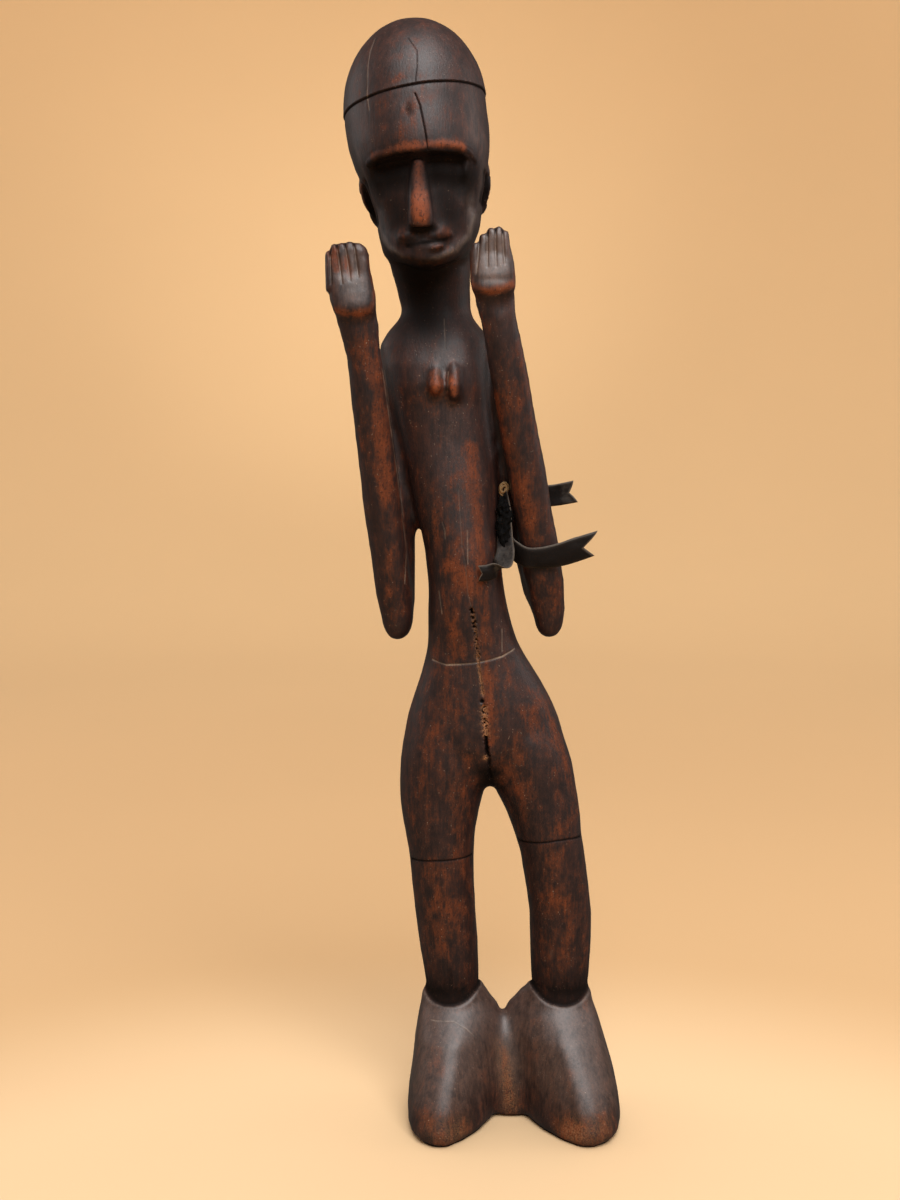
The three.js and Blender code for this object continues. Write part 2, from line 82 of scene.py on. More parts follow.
def watts(name, description, default):
    """A lamp's power as a property."""
    return FloatProperty(name=name, description=description, default=default, min=0.0, unit="POWER")


class CarvingSizes(bpy.types.PropertyGroup):
    """Sizes of the carved surface."""

    rough_cell: length("Rough cell", "Width of the even cells that the facets are smoothed in", 0.0024)
    rounds: count("Rounds", "How often the facets of the solid are evened out", 95)
    cell: length("Cell", "Width of the even cells that the details are carved in", 0.0013)
    faces: count("Faces", "How many triangles the carved surface keeps before its lines are cut", 112000)
    hair_step: length("Hair step", "How far the hair stands out over the forehead", 0.0012)
    knife_wander: length("Knife wander", "How far the knife's flat strokes leave the even form", 0.0003)
    crack_depth: length("Crack depth", "Depth of the long crack down the belly", 0.004)


class WoodColours(bpy.types.PropertyGroup):
    """Colours of the handled wood."""

    patina: colour("Patina", "Near-black crust of smoke and handling", (0.0165, 0.0062, 0.0052))
    brown: colour("Brown", "Dark brown where the crust is thin", (0.056, 0.0145, 0.0075))
    # Rubbed is red-brown wear, and on the lips also a painted highlight
    rubbed: colour("Rubbed", "Red-brown wood where the crust is rubbed through", (0.155, 0.037, 0.0115))
    # Bare is orange-brown bare wood, and also a painted highlight on the brow ridge, the nose, the nubs and
    # the heels of the palms
    bare: colour("Bare", "Orange-brown wood on the most handled places", (0.28, 0.066, 0.018))
    # Dust is grey dust on the palms and feet, and also a painted sheen on the jaw's rim, the temples, the
    # right cheek, the forehead and the chest
    dust: colour("Dust", "Grey dust on palms and feet", (0.115, 0.063, 0.043))
    crumb: colour("Crumb", "Pale crumbly wood beside the insect holes", (0.36, 0.18, 0.085))
    # The scratch colour is pale scratches, specks and dust, and also painted highlights along the jaw's
    # rim, the ears' ridges and the dents' upper rims
    scratch_and_highlight: colour("Scratch", "Pale grey of scratched lines", (0.27, 0.21, 0.16))
    # Soot is black dirt, and also painted shade: in the hollow face, under the nose and chin, on the neck,
    # in the groin, in the ears, in splits, grooves and holes, and along the feet's lower edges
    soot: colour("Soot", "Black dirt in hollows and splits", (0.005, 0.0035, 0.0032))


class HideSizes(bpy.types.PropertyGroup):
    """Sizes of the hide straps."""

    thickness: length("Thickness", "Thickness of the dried hide", 0.0014)
    wave: length("Wave", "How far the dried edges wave", 0.0007)


class HideColours(bpy.types.PropertyGroup):
    """Colours of the hide."""

    face: colour("Face", "Dull black of the smooth face", (0.0095, 0.0072, 0.0066))
    # Worn grey marks folds, and also a painted highlight along the upper edge of each strip
    worn: colour("Worn", "Grey of folds and raised grain", (0.075, 0.066, 0.06))
    edge: colour("Edge", "Paler cut edge", (0.17, 0.14, 0.115))
    cord: colour("Cord", "Pale gold of the twisted cord that ties the knot", (0.3, 0.19, 0.09))
    # The knot colour is dirt, and painted shade in the knot's creases
    knot: colour("Knot", "Black dirt in the creases of the knot", (0.003, 0.003, 0.003))


class StageLooks(bpy.types.PropertyGroup):
    """Floor, lights and camera."""

    # The floor tone and the deeper tone round it paint a pool of light under and before the figure
    floor: colour("Floor", "Pale warm floor under and before the figure", (0.79, 0.55, 0.315))
    around: colour("Around", "Deeper tone of the floor all round", (0.635, 0.4, 0.198))
    backdrop: colour("Backdrop", "Tone of the floor where it sweeps up", (0.785, 0.532, 0.282))
    key_power: watts("Key", "Power of the soft light above and in front", 146.0)
    room_power: watts("Room", "Power of the wide light overhead that fills the room", 106.0)
    side_power: watts("Side", "Power of each of the two soft lights at the sides", 7.0)
    halo_power: watts("Halo", "Power of the light on the backdrop behind the head", 2.5)
    ambient: FloatProperty(name="Ambient", description="Strength of the light from all round", default=0.1)
    ambient_tint: colour("Ambient tint", "Warm tint of the light from all round", (1.0, 0.9, 0.76))
    lens: FloatProperty(name="Lens", description="Focal length on a 36 mm long side, in mm", default=41.924)


# Meshes as arrays of points


def link(name, data):
    """A new object of the scene with this mesh, lamp or camera."""
    piece = bpy.data.objects.new(name, data)
    bpy.context.scene.collection.objects.link(piece)
    return piece


def bake_modifiers(piece):
    """Gives the piece the mesh that its modifiers make."""
    seen = piece.evaluated_get(bpy.context.evaluated_depsgraph_get())
    mesh = bpy.data.meshes.new_from_object(seen)
    piece.modifiers.clear()
    piece.data = mesh


def even_out_cells(piece, cell):
    """Remakes the piece in even cells, with forms that run into each other made one."""
    even = piece.modifiers.new("even_cells", "REMESH")
    even.mode = "VOXEL"
    even.voxel_size = cell
    bake_modifiers(piece)


def thin_out(piece, faces, keep):
    """Leaves this many triangles, none of them lost where keep is true."""
    group = piece.vertex_groups.new(name="keep")
    group.add(np.flatnonzero(keep).tolist(), 1.0, "REPLACE")
    piece.data.calc_loop_triangles()
    fewer = piece.modifiers.new("fewer", "DECIMATE")
    fewer.ratio = min(1.0, faces / len(piece.data.loop_triangles))
    fewer.vertex_group = group.name
    fewer.invert_vertex_group = True
    bake_modifiers(piece)
    piece.vertex_groups.clear()


def points_of(mesh):
    """The mesh's points in millimetres."""
    flat = np.empty(len(mesh.vertices) * 3, np.float32)
    mesh.vertices.foreach_get("co", flat)
    return flat.reshape(-1, 3).astype(float) / MM


def move_points(mesh, points):
    """Puts the mesh's points at these places in millimetres."""
    mesh.vertices.foreach_set("co", (points * MM).astype(np.float32).ravel())
    mesh.update()


def facing_of(mesh):
    """The way the surface faces at each point."""
    flat = np.empty(len(mesh.vertices) * 3, np.float32)
    mesh.vertex_normals.foreach_get("vector", flat)
    return flat.reshape(-1, 3).astype(float)


def smooth_step(low, high, value):
    """0 up to low, 1 from high on, and an even bend between."""
    t = np.clip((value - low) / (high - low), 0, 1)
    return t * t * (3 - 2 * t)


def window(low, high, value, soft):
    """1 from low to high, fading over soft outside them."""
    return smooth_step(low - soft, low, value) * (1 - smooth_step(high, high + soft, value))


def bell(distance, width):
    """1 at distance 0, fading like a bell."""
    return np.exp(-((distance / width) ** 2))


def grain_noise(points, size, squeeze=(1, 1, 1), octaves=1):
    """Smooth noise from about -1 to 1 with lumps of about this size in millimetres."""
    places = points * np.asarray(squeeze) / size
    return np.array([noise.fractal(place, 1.0, 2.0, octaves) for place in places.tolist()])


class Neighbours:
    """The points that each point of a mesh is joined to."""

    def __init__(self, mesh):
        ends = np.empty(len(mesh.edges) * 2, np.int32)
        mesh.edges.foreach_get("vertices", ends)
        pairs = ends.reshape(-1, 2)
        self.size = len(mesh.vertices)
        self.here = np.concatenate([pairs[:, 0], pairs[:, 1]])
        self.there = np.concatenate([pairs[:, 1], pairs[:, 0]])
        self.number = np.bincount(self.here, minlength=self.size).reshape(-1, 1)

    def pull(self, points):
        """The step from each point to the middle of its neighbours."""
        sums = [np.bincount(self.here, points[self.there, axis], self.size) for axis in range(3)]
        return np.stack(sums, axis=1) / self.number - points


def soften(mesh, rounds):
    """Evens out facets and keeps the volume."""
    shrink, swell = 0.5, -0.53
    neighbours = Neighbours(mesh)
    points = points_of(mesh)
    for strength in (shrink, swell) * rounds:
        points += strength * neighbours.pull(points)
    move_points(mesh, points)


def rub_down(mesh, rounds, where):
    """Rubs long waves away in where, and pads it again by what the rubbing takes off on average."""
    neighbours = Neighbours(mesh)
    before = points_of(mesh)
    points = before.copy()
    for _ in range(rounds):
        points += 0.5 * where[:, None] * neighbours.pull(points)
    move_points(mesh, points)
    facing = facing_of(mesh)
    taken_off = np.einsum("ij,ij->i", before - points, facing)
    padding = np.average(taken_off, weights=where) * where
    move_points(mesh, points + facing * padding[:, None])


def fill_creases(mesh, rounds, where):
    """Fills creases in where: a point moves to the middle of its neighbours only if that is outwards."""
    neighbours = Neighbours(mesh)
    points = points_of(mesh)
    for _ in range(rounds):
        step = neighbours.pull(points)
        outwards = np.einsum("ij,ij->i", step, facing_of(mesh)) > 0
        points += step * (0.8 * where * outwards)[:, None]
        move_points(mesh, points)


def refine(mesh, wanted):
    """Cuts every face in four where wanted says so of its middle, in millimetres."""
    work = bmesh.new()
    work.from_mesh(mesh)
    work.faces.ensure_lookup_table()
    middles = np.array([face.calc_center_median() for face in work.faces]) / MM
    chosen = np.flatnonzero(wanted(middles))
    edges = {edge for index in chosen for edge in work.faces[index].edges}
    bmesh.ops.subdivide_edges(work, edges=list(edges), cuts=1, use_grid_fill=True)
    work.to_mesh(mesh)
    work.free()


def along(line, points):
    """Each point's distance to a line of straight stretches, and how far along it, 0 to 1, it is."""
    corners = np.asarray(line, float)
    steps = np.diff(corners, axis=0)
    lengths = np.linalg.norm(steps, axis=1)
    distance = np.full(len(points), np.inf)
    place = np.zeros(len(points))
    passed = 0.0
    for corner, step, reach in zip(corners, steps, lengths):
        t = np.clip((points - corner) @ step / reach**2, 0, 1)
        gap = np.linalg.norm(points - corner - t[:, None] * step, axis=1)
        closer = gap < distance
        distance[closer] = gap[closer]
        place[closer] = (passed + t[closer] * reach) / lengths.sum()
        passed += reach
    return distance, place


def through(knots, u):
    """A smooth value through evenly spaced knots, for u from 0 to 1."""
    stretch = min(int(u * (len(knots) - 1)), len(knots) - 2)
    t = u * (len(knots) - 1) - stretch
    before = knots[max(stretch - 1, 0)]
    start = knots[stretch]
    end = knots[stretch + 1]
    after = knots[min(stretch + 2, len(knots) - 1)]
    return 0.5 * (
        2 * start
        + t * (end - before)
        + t**2 * (2 * before - 5 * start + 4 * end - after)
        + t**3 * (3 * start - before - 3 * end + after)
    )


# A rounded end closes in three rings, at these turns from its rim towards its tip
END_TURNS = np.radians([28, 54, 76])[:, None]


def section_corners(sides, square):
    """The corners of a section from -1 to 1: a circle where square is 2, and squarer above that."""
    corners = []
    for corner in range(sides):
        turn = math.tau * corner / sides
        ways = (math.cos(turn), math.sin(turn))
        corners.append([math.copysign(abs(way) ** (2 / square), way) for way in ways])
    return corners


def join_rings(work, rings, closed=False):
    """Adds the faces between rings of corners that follow each other, and back to the first if closed."""
    following = rings[1:] + rings[:1] if closed else rings[1:]
    for ring, after in zip(rings, following):
        for corner in range(len(ring)):
            beside = (corner + 1) % len(ring)
            work.faces.new((ring[corner], ring[beside], after[beside], after[corner]))


def whittled(work, stations, across=(1, 0, 0), square=2.0, sides=16, fine=4, blunt=1.0, closed=False):
    """Adds a closed form with rounded ends: at each station its middle, half its width and half its depth.

    A closed form is a ring, whose last station is also its first.
    """
    knots = np.asarray(stations, float)
    rows = np.array([through(knots, u) for u in np.linspace(0, 1, fine * (len(knots) - 1) + 1)])
    middles, halves = rows[:, :3], rows[:, 3:]
    ahead = np.gradient(middles, axis=0)
    if closed:
        ahead[[0, -1]] = ahead[0] + ahead[-1]
    ahead /= np.linalg.norm(ahead, axis=1, keepdims=True)
    if closed:
        # The last station is the first again and gets no ring of its own
        middles = middles[:-1]
    else:
        first, last = blunt * halves[0].min(), blunt * halves[-1].min()
        start = middles[0] - first * np.sin(END_TURNS) * ahead[0]
        end = middles[-1] + last * np.sin(END_TURNS) * ahead[-1]
        middles = np.vstack([start[::-1], middles, end])
        shrink = np.cos(END_TURNS)
        halves = np.vstack([(shrink * halves[0])[::-1], halves, shrink * halves[-1]])
        ahead = np.pad(ahead, ((len(END_TURNS), len(END_TURNS)), (0, 0)), mode="edge")
    side = np.asarray(across, float) - (ahead @ np.asarray(across, float))[:, None] * ahead
    side /= np.linalg.norm(side, axis=1, keepdims=True)
    out = np.cross(ahead, side)
    corners = section_corners(sides, square)
    rings = []
    for middle, half, side_way, out_way in zip(middles, halves, side, out):
        ring = []
        for wide, deep in corners:
            place = middle + wide * half[0] * side_way + deep * half[1] * out_way
            ring.append(work.verts.new(place * MM))
        rings.append(ring)
    join_rings(work, rings, closed)
    if not closed:
        work.faces.new(list(reversed(rings[0])))
        work.faces.new(rings[-1])


def join_forms(piece, add_forms):
    """Joins the closed forms that add_forms makes to the piece's mesh."""
    work = bmesh.new()
    work.from_mesh(piece.data)
    add_forms(work)
    bmesh.ops.recalc_face_normals(work, faces=work.faces)
    work.to_mesh(piece.data)
    work.free()


class Surface:
    """A piece under the knife: its points, the way each faces, and the marks that its finish reads."""

    def __init__(self, mesh):
        self.mesh = mesh
        self.points = points_of(mesh)
        self.facing = facing_of(mesh)
        self.marks = {}

    def raise_by(self, height):
        """Moves each point out by its height in millimetres, in where it is negative."""
        self.points += self.facing * height[:, None]

    def mark(self, name, amount):
        """Marks each point with the greater of this amount and what it has."""
        self.marks[name] = np.maximum(self.marks.get(name, 0.0), np.clip(amount, 0, 1))

    def front_of(self, low, high):
        """1 where the surface faces the front and its depth y lies between low and high."""
        depth = self.points[:, 1]
        return smooth_step(0.1, 0.35, -self.facing[:, 1]) * (depth > low) * (depth < high)

    def from_front(self):
        """The points as seen from the front, as x and z."""
        return self.points[:, [0, 2]]

    def settle(self):
        """Writes the points to the mesh and reads again how they face."""
        move_points(self.mesh, self.points)
        self.facing = facing_of(self.mesh)

    def finish(self):
        """Writes the points and the marks to the mesh."""
        self.settle()
        for name, amount in self.marks.items():
            layer = self.mesh.attributes.new(name, "FLOAT", "POINT")
            layer.data.foreach_set("value", amount.astype(np.float32))


# Shader maths as expressions


class Field:
    """A node socket that carries a value over the surface. Sums and products of fields add Math nodes."""

    def __init__(self, finish, socket):
        self.finish = finish
        self.socket = socket

    def __add__(self, other):
        return self.finish.maths("ADD", self, other)

    def __sub__(self, other):
        return self.finish.maths("SUBTRACT", self, other)

    def __rsub__(self, other):
        return self.finish.maths("SUBTRACT", other, self)

    def __mul__(self, other):
        return self.finish.maths("MULTIPLY", self, other)

    __radd__ = __add__
    __rmul__ = __mul__

    def stepped(self, low, high):
        """0 up to low, 1 from high on, and an even bend between."""
        settings = {"interpolation_type": "SMOOTHSTEP"}
        sockets = {"Value": self, "From Min": low, "From Max": high}
        return self.finish.node("ShaderNodeMapRange", settings, sockets)


class Finish:
    """A material in the making."""

    def __init__(self, name):
        self.material = bpy.data.materials.new(name)
        self.material.use_nodes = True
        self.tree = self.material.node_tree
        self.shader = self.tree.nodes["Principled BSDF"]
        self.place = self.node("ShaderNodeTexCoord", output="Object")

    def feed(self, socket, value):
        """Links a field to a socket, or sets the socket's own value."""
        if isinstance(value, Field):
            self.tree.links.new(value.socket, socket)
        elif isinstance(value, tuple) and len(value) == 3 and socket.type == "RGBA":
            socket.default_value = (*value, 1.0)
        else:
            socket.default_value = value

    def node(self, kind, settings=None, sockets=None, output=0):
        """One node: its settings come first, then the values or links of its sockets."""
        made = self.tree.nodes.new(kind)
        for name, value in (settings or {}).items():
            setattr(made, name, value)
        for name, value in (sockets or {}).items():
            self.feed(made.inputs[name], value)
        return Field(self, made.outputs[output])

    def maths(self, operation, first, second):
        """A Math node."""
        return self.node("ShaderNodeMath", {"operation": operation}, {0: first, 1: second})

    def mixed(self, amount, none, full):
        """A colour that goes from none to full as the amount goes from 0 to 1."""
        sockets = {"Factor": amount, 6: none, 7: full}
        return self.node("ShaderNodeMix", {"data_type": "RGBA"}, sockets, output=2)

    def stretched(self, squeeze):
        """The place on the piece, squeezed by three factors."""
        settings = {"operation": "MULTIPLY"}
        return self.node("ShaderNodeVectorMath", settings, {0: self.place, 1: squeeze})

    def lumps(self, size, detail=2.0, roughness=0.5, squeeze=None):
        """Noise from 0 to 1 with lumps of about this size in millimetres."""
        place = self.place if squeeze is None else self.stretched(squeeze)
        sockets = {"Vector": place, "Scale": 1 / (size * MM), "Detail": detail, "Roughness": roughness}
        return self.node("ShaderNodeTexNoise", None, sockets)

    def marks(self, name):
        """The marks that the carving left under this name."""
        return self.node("ShaderNodeAttribute", {"attribute_name": name}, output="Fac")

    def relief(self, height, depth):
        """Turns a height from 0 to 1 into relief of this depth in millimetres."""
        sockets = {"Strength": 1.0, "Distance": depth * MM, "Height": height}
        self.shade(Normal=self.node("ShaderNodeBump", None, sockets))

    def matt_where(self, amount, colour):
        """Turns the surface to matt dirt and painted shade of this colour as the amount goes from 0 to 1.
        """
        dirt_and_shade = self.tree.nodes.new("ShaderNodeBsdfPrincipled")
        sockets = {"Base Color": colour, "Roughness": 1.0, "Specular IOR Level": 0.05}
        for name, value in sockets.items():
            self.feed(dirt_and_shade.inputs[name], value)
        mix = self.tree.nodes.new("ShaderNodeMixShader")
        self.feed(mix.inputs[0], amount)
        self.tree.links.new(self.shader.outputs[0], mix.inputs[1])
        self.tree.links.new(dirt_and_shade.outputs[0], mix.inputs[2])
        self.tree.links.new(mix.outputs[0], self.tree.nodes["Material Output"].inputs["Surface"])

    def shade(self, **sockets):
        """Feeds sockets of the shader."""
        for name, value in sockets.items():
            self.feed(self.shader.inputs[name.replace("_", " ")], value)


# The grain runs upright, so its streaks are drawn out along z
ALONG_GRAIN = (1.0, 1.0, 0.08)


def handled_wood(colours):
    """Old wood with a dark crust, rubbed through to red-brown and orange along the grain, with painted
    shade in its hollows and painted highlights and sheen on its ridges.
    """
    finish = Finish("handled_wood")
    streaks = finish.lumps(2.4, detail=4, roughness=0.65, squeeze=ALONG_GRAIN)
    fibres = finish.lumps(0.8, detail=2, squeeze=ALONG_GRAIN)
    patches = finish.lumps(26, detail=5, roughness=0.64, squeeze=(1.0, 1.0, 0.5))
    spots = finish.lumps(8, detail=5, roughness=0.68, squeeze=(1.0, 1.0, 0.6))
    pores = finish.lumps(1.6, detail=3, roughness=0.6, squeeze=(1.0, 1.0, 0.6))
    specks = finish.lumps(1.1, detail=2)
    worn_patches = (patches - 0.5) * 1.5 + (spots - 0.5) * 1.3 + (streaks - 0.5) * 0.6
    thin_patches = (spots - 0.5) * 1.6 + (streaks - 0.5) * 0.9 + (pores - 0.5) * 0.5

    brown = (thin_patches + 0.5).stepped(0.12, 0.95)
    rubbed = (finish.marks("rubbed") * 0.95 + worn_patches * 1.3 - 0.06).stepped(0.1, 1.08)
    bare = (finish.marks("bare") + worn_patches * 0.4).stepped(0.15, 0.95)
    dust = (finish.marks("dust") + thin_patches * 0.4).stepped(0.1, 1.0)
    crumb = finish.marks("crumb") * specks.stepped(0.34, 0.6)
    # Pale lines are scratches and dust in cuts, and painted highlights on the jaw's rim, the ears' ridges
    # and the dents' upper rims
    line = finish.marks("line") * (spots * 1.6 - 0.2)
    # Soot marks black dirt and painted shade in hollows, creases and under things
    soot = finish.marks("soot")
    pale_specks = specks.stepped(0.69, 0.74) * spots.stepped(0.46, 0.56)

    base = finish.mixed(brown, tuple(colours.patina), tuple(colours.brown))
    base = finish.mixed(dust * (0.4 + streaks * 0.7), base, tuple(colours.dust))
    base = finish.mixed(rubbed * (0.45 + streaks * 0.8), base, tuple(colours.rubbed))
    base = finish.mixed(bare * (0.5 + spots * 0.7), base, tuple(colours.bare))
    base = finish.mixed(pores.stepped(0.53, 0.66) * 0.65, base, tuple(colours.patina))
    base = finish.mixed(soot * 0.94, base, tuple(colours.soot))
    base = finish.mixed(crumb, base, tuple(colours.crumb))
    base = finish.mixed(line.stepped(0.0, 1.0), base, tuple(colours.scratch_and_highlight))
    base = finish.mixed(pale_specks, base, tuple(colours.scratch_and_highlight))
    roughness = (spots - 0.5) * 0.25 + (pores - 0.5) * 0.15 + bare * 0.15 + crumb * 0.3 + soot * 0.3 + 0.5
    polish = (dust * 0.75 - rubbed * 0.4 - bare * 0.5 - crumb - soot + 0.42).stepped(0.0, 1.0)
    finish.shade(Base_Color=base, Roughness=roughness, Specular_IOR_Level=0.4)
    finish.shade(Coat_Weight=polish, Coat_Roughness=0.54, Coat_IOR=1.7)
    finish.relief(streaks * 0.35 + fibres * 0.25 + spots * 0.15 + pores * 0.4, 0.6)
    # Where soot or painted shade lies, the surface turns matt black
    finish.matt_where(soot * 0.9, tuple(colours.soot))
    return finish.material


def dried_hide(colours):
    """Stiff dried hide: dull black-grey, finely wrinkled, paler on cut edges and folds, with a painted
    highlight along its upper edge and painted shade in the creases of the knot.
    """
    finish = Finish("dried_hide")
    wrinkles = finish.lumps(2.2, detail=4, roughness=0.6)
    pores = finish.lumps(0.6, detail=2)
    clouds = finish.lumps(9, detail=3)
    edge = finish.marks("edge") * (0.3 + wrinkles * 0.9)
    fold = (finish.marks("fold") + (clouds - 0.5) * 0.5 + (wrinkles - 0.5) * 0.5).stepped(0.2, 0.9)
    base = finish.mixed(fold, tuple(colours.face), tuple(colours.worn))
    base = finish.mixed(edge, base, tuple(colours.edge))
    base = finish.mixed(finish.marks("cord"), base, tuple(colours.cord))
    finish.shade(Base_Color=base, Roughness=0.5 + (wrinkles - 0.5) * 0.3, Specular_IOR_Level=0.14)
    finish.relief(wrinkles * 0.7 + pores * 0.3, 0.3)
    # Painted shade and dirt: the knot is blackest in the bottoms of its wrinkles
    finish.matt_where(finish.marks("soot") * (1.3 - wrinkles * 0.8), tuple(colours.knot))
    return finish.material


def plain_floor(near, middle, far):
    """Matt paper, a little uneven, of one even tone all round where it sweeps up, with a painted pool of
    light: brightest under and before the figure, and deeper in a ring round that.
    """
    finish = Finish("pale_floor")
    clouds = finish.lumps(900, detail=2)
    pool = {0: finish.place, 1: (0.0, -0.5, 0.0)}
    distance = finish.node("ShaderNodeVectorMath", {"operation": "DISTANCE"}, pool, output="Value")
    # A painted pool of light: pale near the figure, deeper further out, and the backdrop tone far off
    tone = finish.mixed(distance.stepped(0.55, 0.9), near, middle)
    tone = finish.mixed(distance.stepped(1.6, 4.0), tone, far)
    finish.shade(Base_Color=finish.mixed(clouds * 0.05, tone, (0.0, 0.0, 0.0)), Roughness=0.9)
    return finish.material


# Details that are carved as forms of their own: stations as x, y, z, half the width and half the depth
NOSE = [
    (-45.6, -43.0, 733.0, 9.4, 12.0), (-45.6, -44.0, 738, 9.8, 12.6), (-46.0, -43.6, 746, 9.0, 12.4),
    (-46.8, -42.0, 757, 8.2, 11.0), (-47.4, -40.4, 769, 7.0, 9.8), (-47.6, -40.6, 780, 5.2, 9.4),
]
BROW = [
    (-86.0, -34.0, 779.5, 2.6, 2.6), (-81.0, -38.6, 783.0, 3.3, 3.2), (-75.0, -43.4, 785.4, 3.6, 3.4),
    (-63.4, -48.9, 787.2, 3.8, 3.6), (-50.0, -51.3, 788.4, 3.8, 3.6), (-41.5, -51.3, 789.0, 3.8, 3.6),
    (-36.0, -50.7, 790.4, 3.8, 3.6), (-28.0, -48.8, 790.8, 3.8, 3.6), (-17.2, -43.8, 790.4, 3.6, 3.4),
    (-9.0, -37.6, 787.6, 3.2, 3.0), (-4.5, -32.2, 782.5, 2.4, 2.4),
]
LIPS = [
    [(-65.0, -36.6, 727.0, 2.6, 1.8), (-57.5, -41.6, 725.0, 3.8, 2.6), (-49.5, -44.4, 721.8, 2.6, 2.2)],
    [(-38.0, -45.2, 723.6, 2.6, 2.2), (-31.0, -44.0, 725.4, 4.2, 2.8), (-23.5, -40.6, 726.0, 2.8, 2.0)],
    [(-39.5, -45.6, 713.6, 1.6, 2.0), (-34.6, -46.0, 714.8, 2.4, 2.6), (-29.5, -44.6, 716.4, 1.8, 2.0)],
]
NUBS = [
    [(-34.6, -24.6, 624.5, 3.2, 3.0), (-34.6, -26.4, 617, 5.4, 5.4), (-34.4, -28.0, 610.0, 6.2, 7.4)],
    [(-20.6, -24.6, 626.0, 3.4, 3.2), (-20.4, -26.4, 617.5, 5.6, 5.8), (-20.0, -28.0, 609.5, 6.4, 8.0)],
]

# The inner flanks of the feet where they grow together into the web
WEB_FLANKS = [
    [(21.6, 12, 75, 6, 10), (21.4, 8, 62, 8, 12), (22, 2, 44, 9, 12)],
    [(42.8, 13, 97.8, 7, 9), (39.1, 13, 88.8, 10, 11), (35.0, 14, 80, 12.0, 13), (34, 14, 68, 11, 13)],
    [(2.0, 13, 100, 5, 9), (6.2, 13, 92, 6.5, 11), (10.2, 13.5, 84, 8.6, 13), (12.4, 14, 74, 9.4, 13)],
]

# The hands, at the viewer's left and right
PALM_LEFT = [
    (-97.4, -42.6, 668.5, 12.8, 7.4), (-98.6, -42.8, 676, 16.2, 9.2), (-100.0, -42.8, 685, 17.3, 7.8),
    (-101.2, -42.4, 694, 17.2, 6.2), (-102.4, -41.6, 703, 16.2, 4.6),
]
PALM_RIGHT = [
    (9.4, -44.4, 685.5, 13.2, 7.4), (9.9, -44.6, 692, 16.7, 9.0), (9.4, -44.6, 700, 17.0, 7.8),
    (8.8, -44.2, 708, 16.0, 6.2), (8.4, -43.4, 716, 14.6, 4.4),
]

# Fingers as the x of the foot and of the tip, the level of the tip, and half the width
FINGERS_LEFT = [
    (-116.0, -116.4, 713, 3.3), (-110.3, -112.0, 718.3, 3.5), (-103.2, -106.8, 719, 3.5),
    (-96.8, -100.4, 720, 3.6), (-89.9, -93.4, 719, 3.9),
]
FINGERS_RIGHT = [
    (-5.0, -3.9, 719, 3.0), (1.9, 2.1, 725.5, 3.2), (8.3, 8.2, 730, 3.3), (14.9, 14.2, 731, 3.3),
    (21.0, 19.0, 728, 3.0),
]

# Half the depth of a finger
FINGER_DEPTH = 5.2

# Each hand: its palm, its fingers, the level where they start and their depth y
HANDS = [(PALM_LEFT, FINGERS_LEFT, 684, -43.0), (PALM_RIGHT, FINGERS_RIGHT, 694, -44.5)]

# Each ear: its middle, and the ways its long axis and its short axis run
EARS = [
    ((-86.6, 10.5, 757.5), (-0.39, -0.05, 0.92), (0.42, 0.91, 0.12)),
    ((3.4, 12.0, 769.5), (0.07, -0.05, 1.0), (-0.42, 0.91, 0.0)),
]

# Half an ear's length, half its width, half the thickness of its rim, and the steps round the rim
EAR_LENGTH, EAR_WIDTH, EAR_RIM, EAR_STEPS = 18.5, 9.5, 2.1, 12

# The slits beside the ears, and the worn ridges of the ears with their painted highlight, as x and z seen
# from the front
EAR_SLITS = [
    [(-90.9, 769), (-88.1, 754.7), (-81.5, 739)],
    [(6.4, 777), (6.2, 767), (3.0, 755.5)],
]
EAR_RIDGES = [
    [(-94.8, 770), (-92.4, 754.7), (-85.0, 741)],
    [(8.6, 784), (9.8, 774), (8.8, 764)],
]

# Lines cut in the figure, as x and z on its front from the top down
CRACK = [
    (-13.7, 485), (-11.3, 473), (-8.9, 446), (-5.7, 434), (-2.4, 412), (-0.7, 393), (1.8, 374),
    (4.2, 358), (5.0, 342), (5.9, 332), (6.7, 317), (8.4, 310), (9.5, 292),
]

# Insect holes beside the crack, as x, z and radius
CRACK_HOLES = [
    (-5.9, 433.0, 1.1), (-5.5, 430.3, 0.9), (-4.9, 426.4, 1.1), (-4.4, 421.6, 1.0), (-3.9, 418.9, 1.1),
    (-2.2, 408.5, 0.8), (2.7, 358.2, 1.5), (4.5, 343.5, 0.8), (4.7, 340.5, 0.8),
]

# The faint line above the crack, the forehead's split, and the hair's splits, of which the first is pale
BELLY_LINE = [(-16.5, 530), (-15.0, 505), (-13.7, 485)]
FOREHEAD_SPLIT = [(-49.7, 828), (-45.9, 819), (-42.2, 801), (-39.9, 786)]
HAIR_SPLITS = [
    [(-81.1, 876), (-84.6, 864), (-86.0, 853), (-86.6, 831), (-85.1, 818)],
    [(-55.2, 872), (-48.3, 861), (-48.2, 848), (-49.7, 836)],
]

# The gaps between the fingers, from their open ends down
FINGER_GAPS = [
    [(-115.4, 714), (-115.2, 705), (-114.6, 687.3)],
    [(-110.6, 720), (-109.6, 712), (-106.1, 687.3)],
    [(-104.2, 721), (-103.4, 714), (-99.8, 689.5)],
    [(-97.4, 722), (-96.8, 716), (-93.6, 692.1)],
    [(-0.8, 724), (-1.7, 708), (-3.3, 694.4)],
    [(5.1, 729), (5.1, 716), (5.3, 700)],
    [(11.3, 732), (11.5, 716), (12.1, 700)],
    [(17.0, 731), (17.4, 716), (18.6, 702)],
]

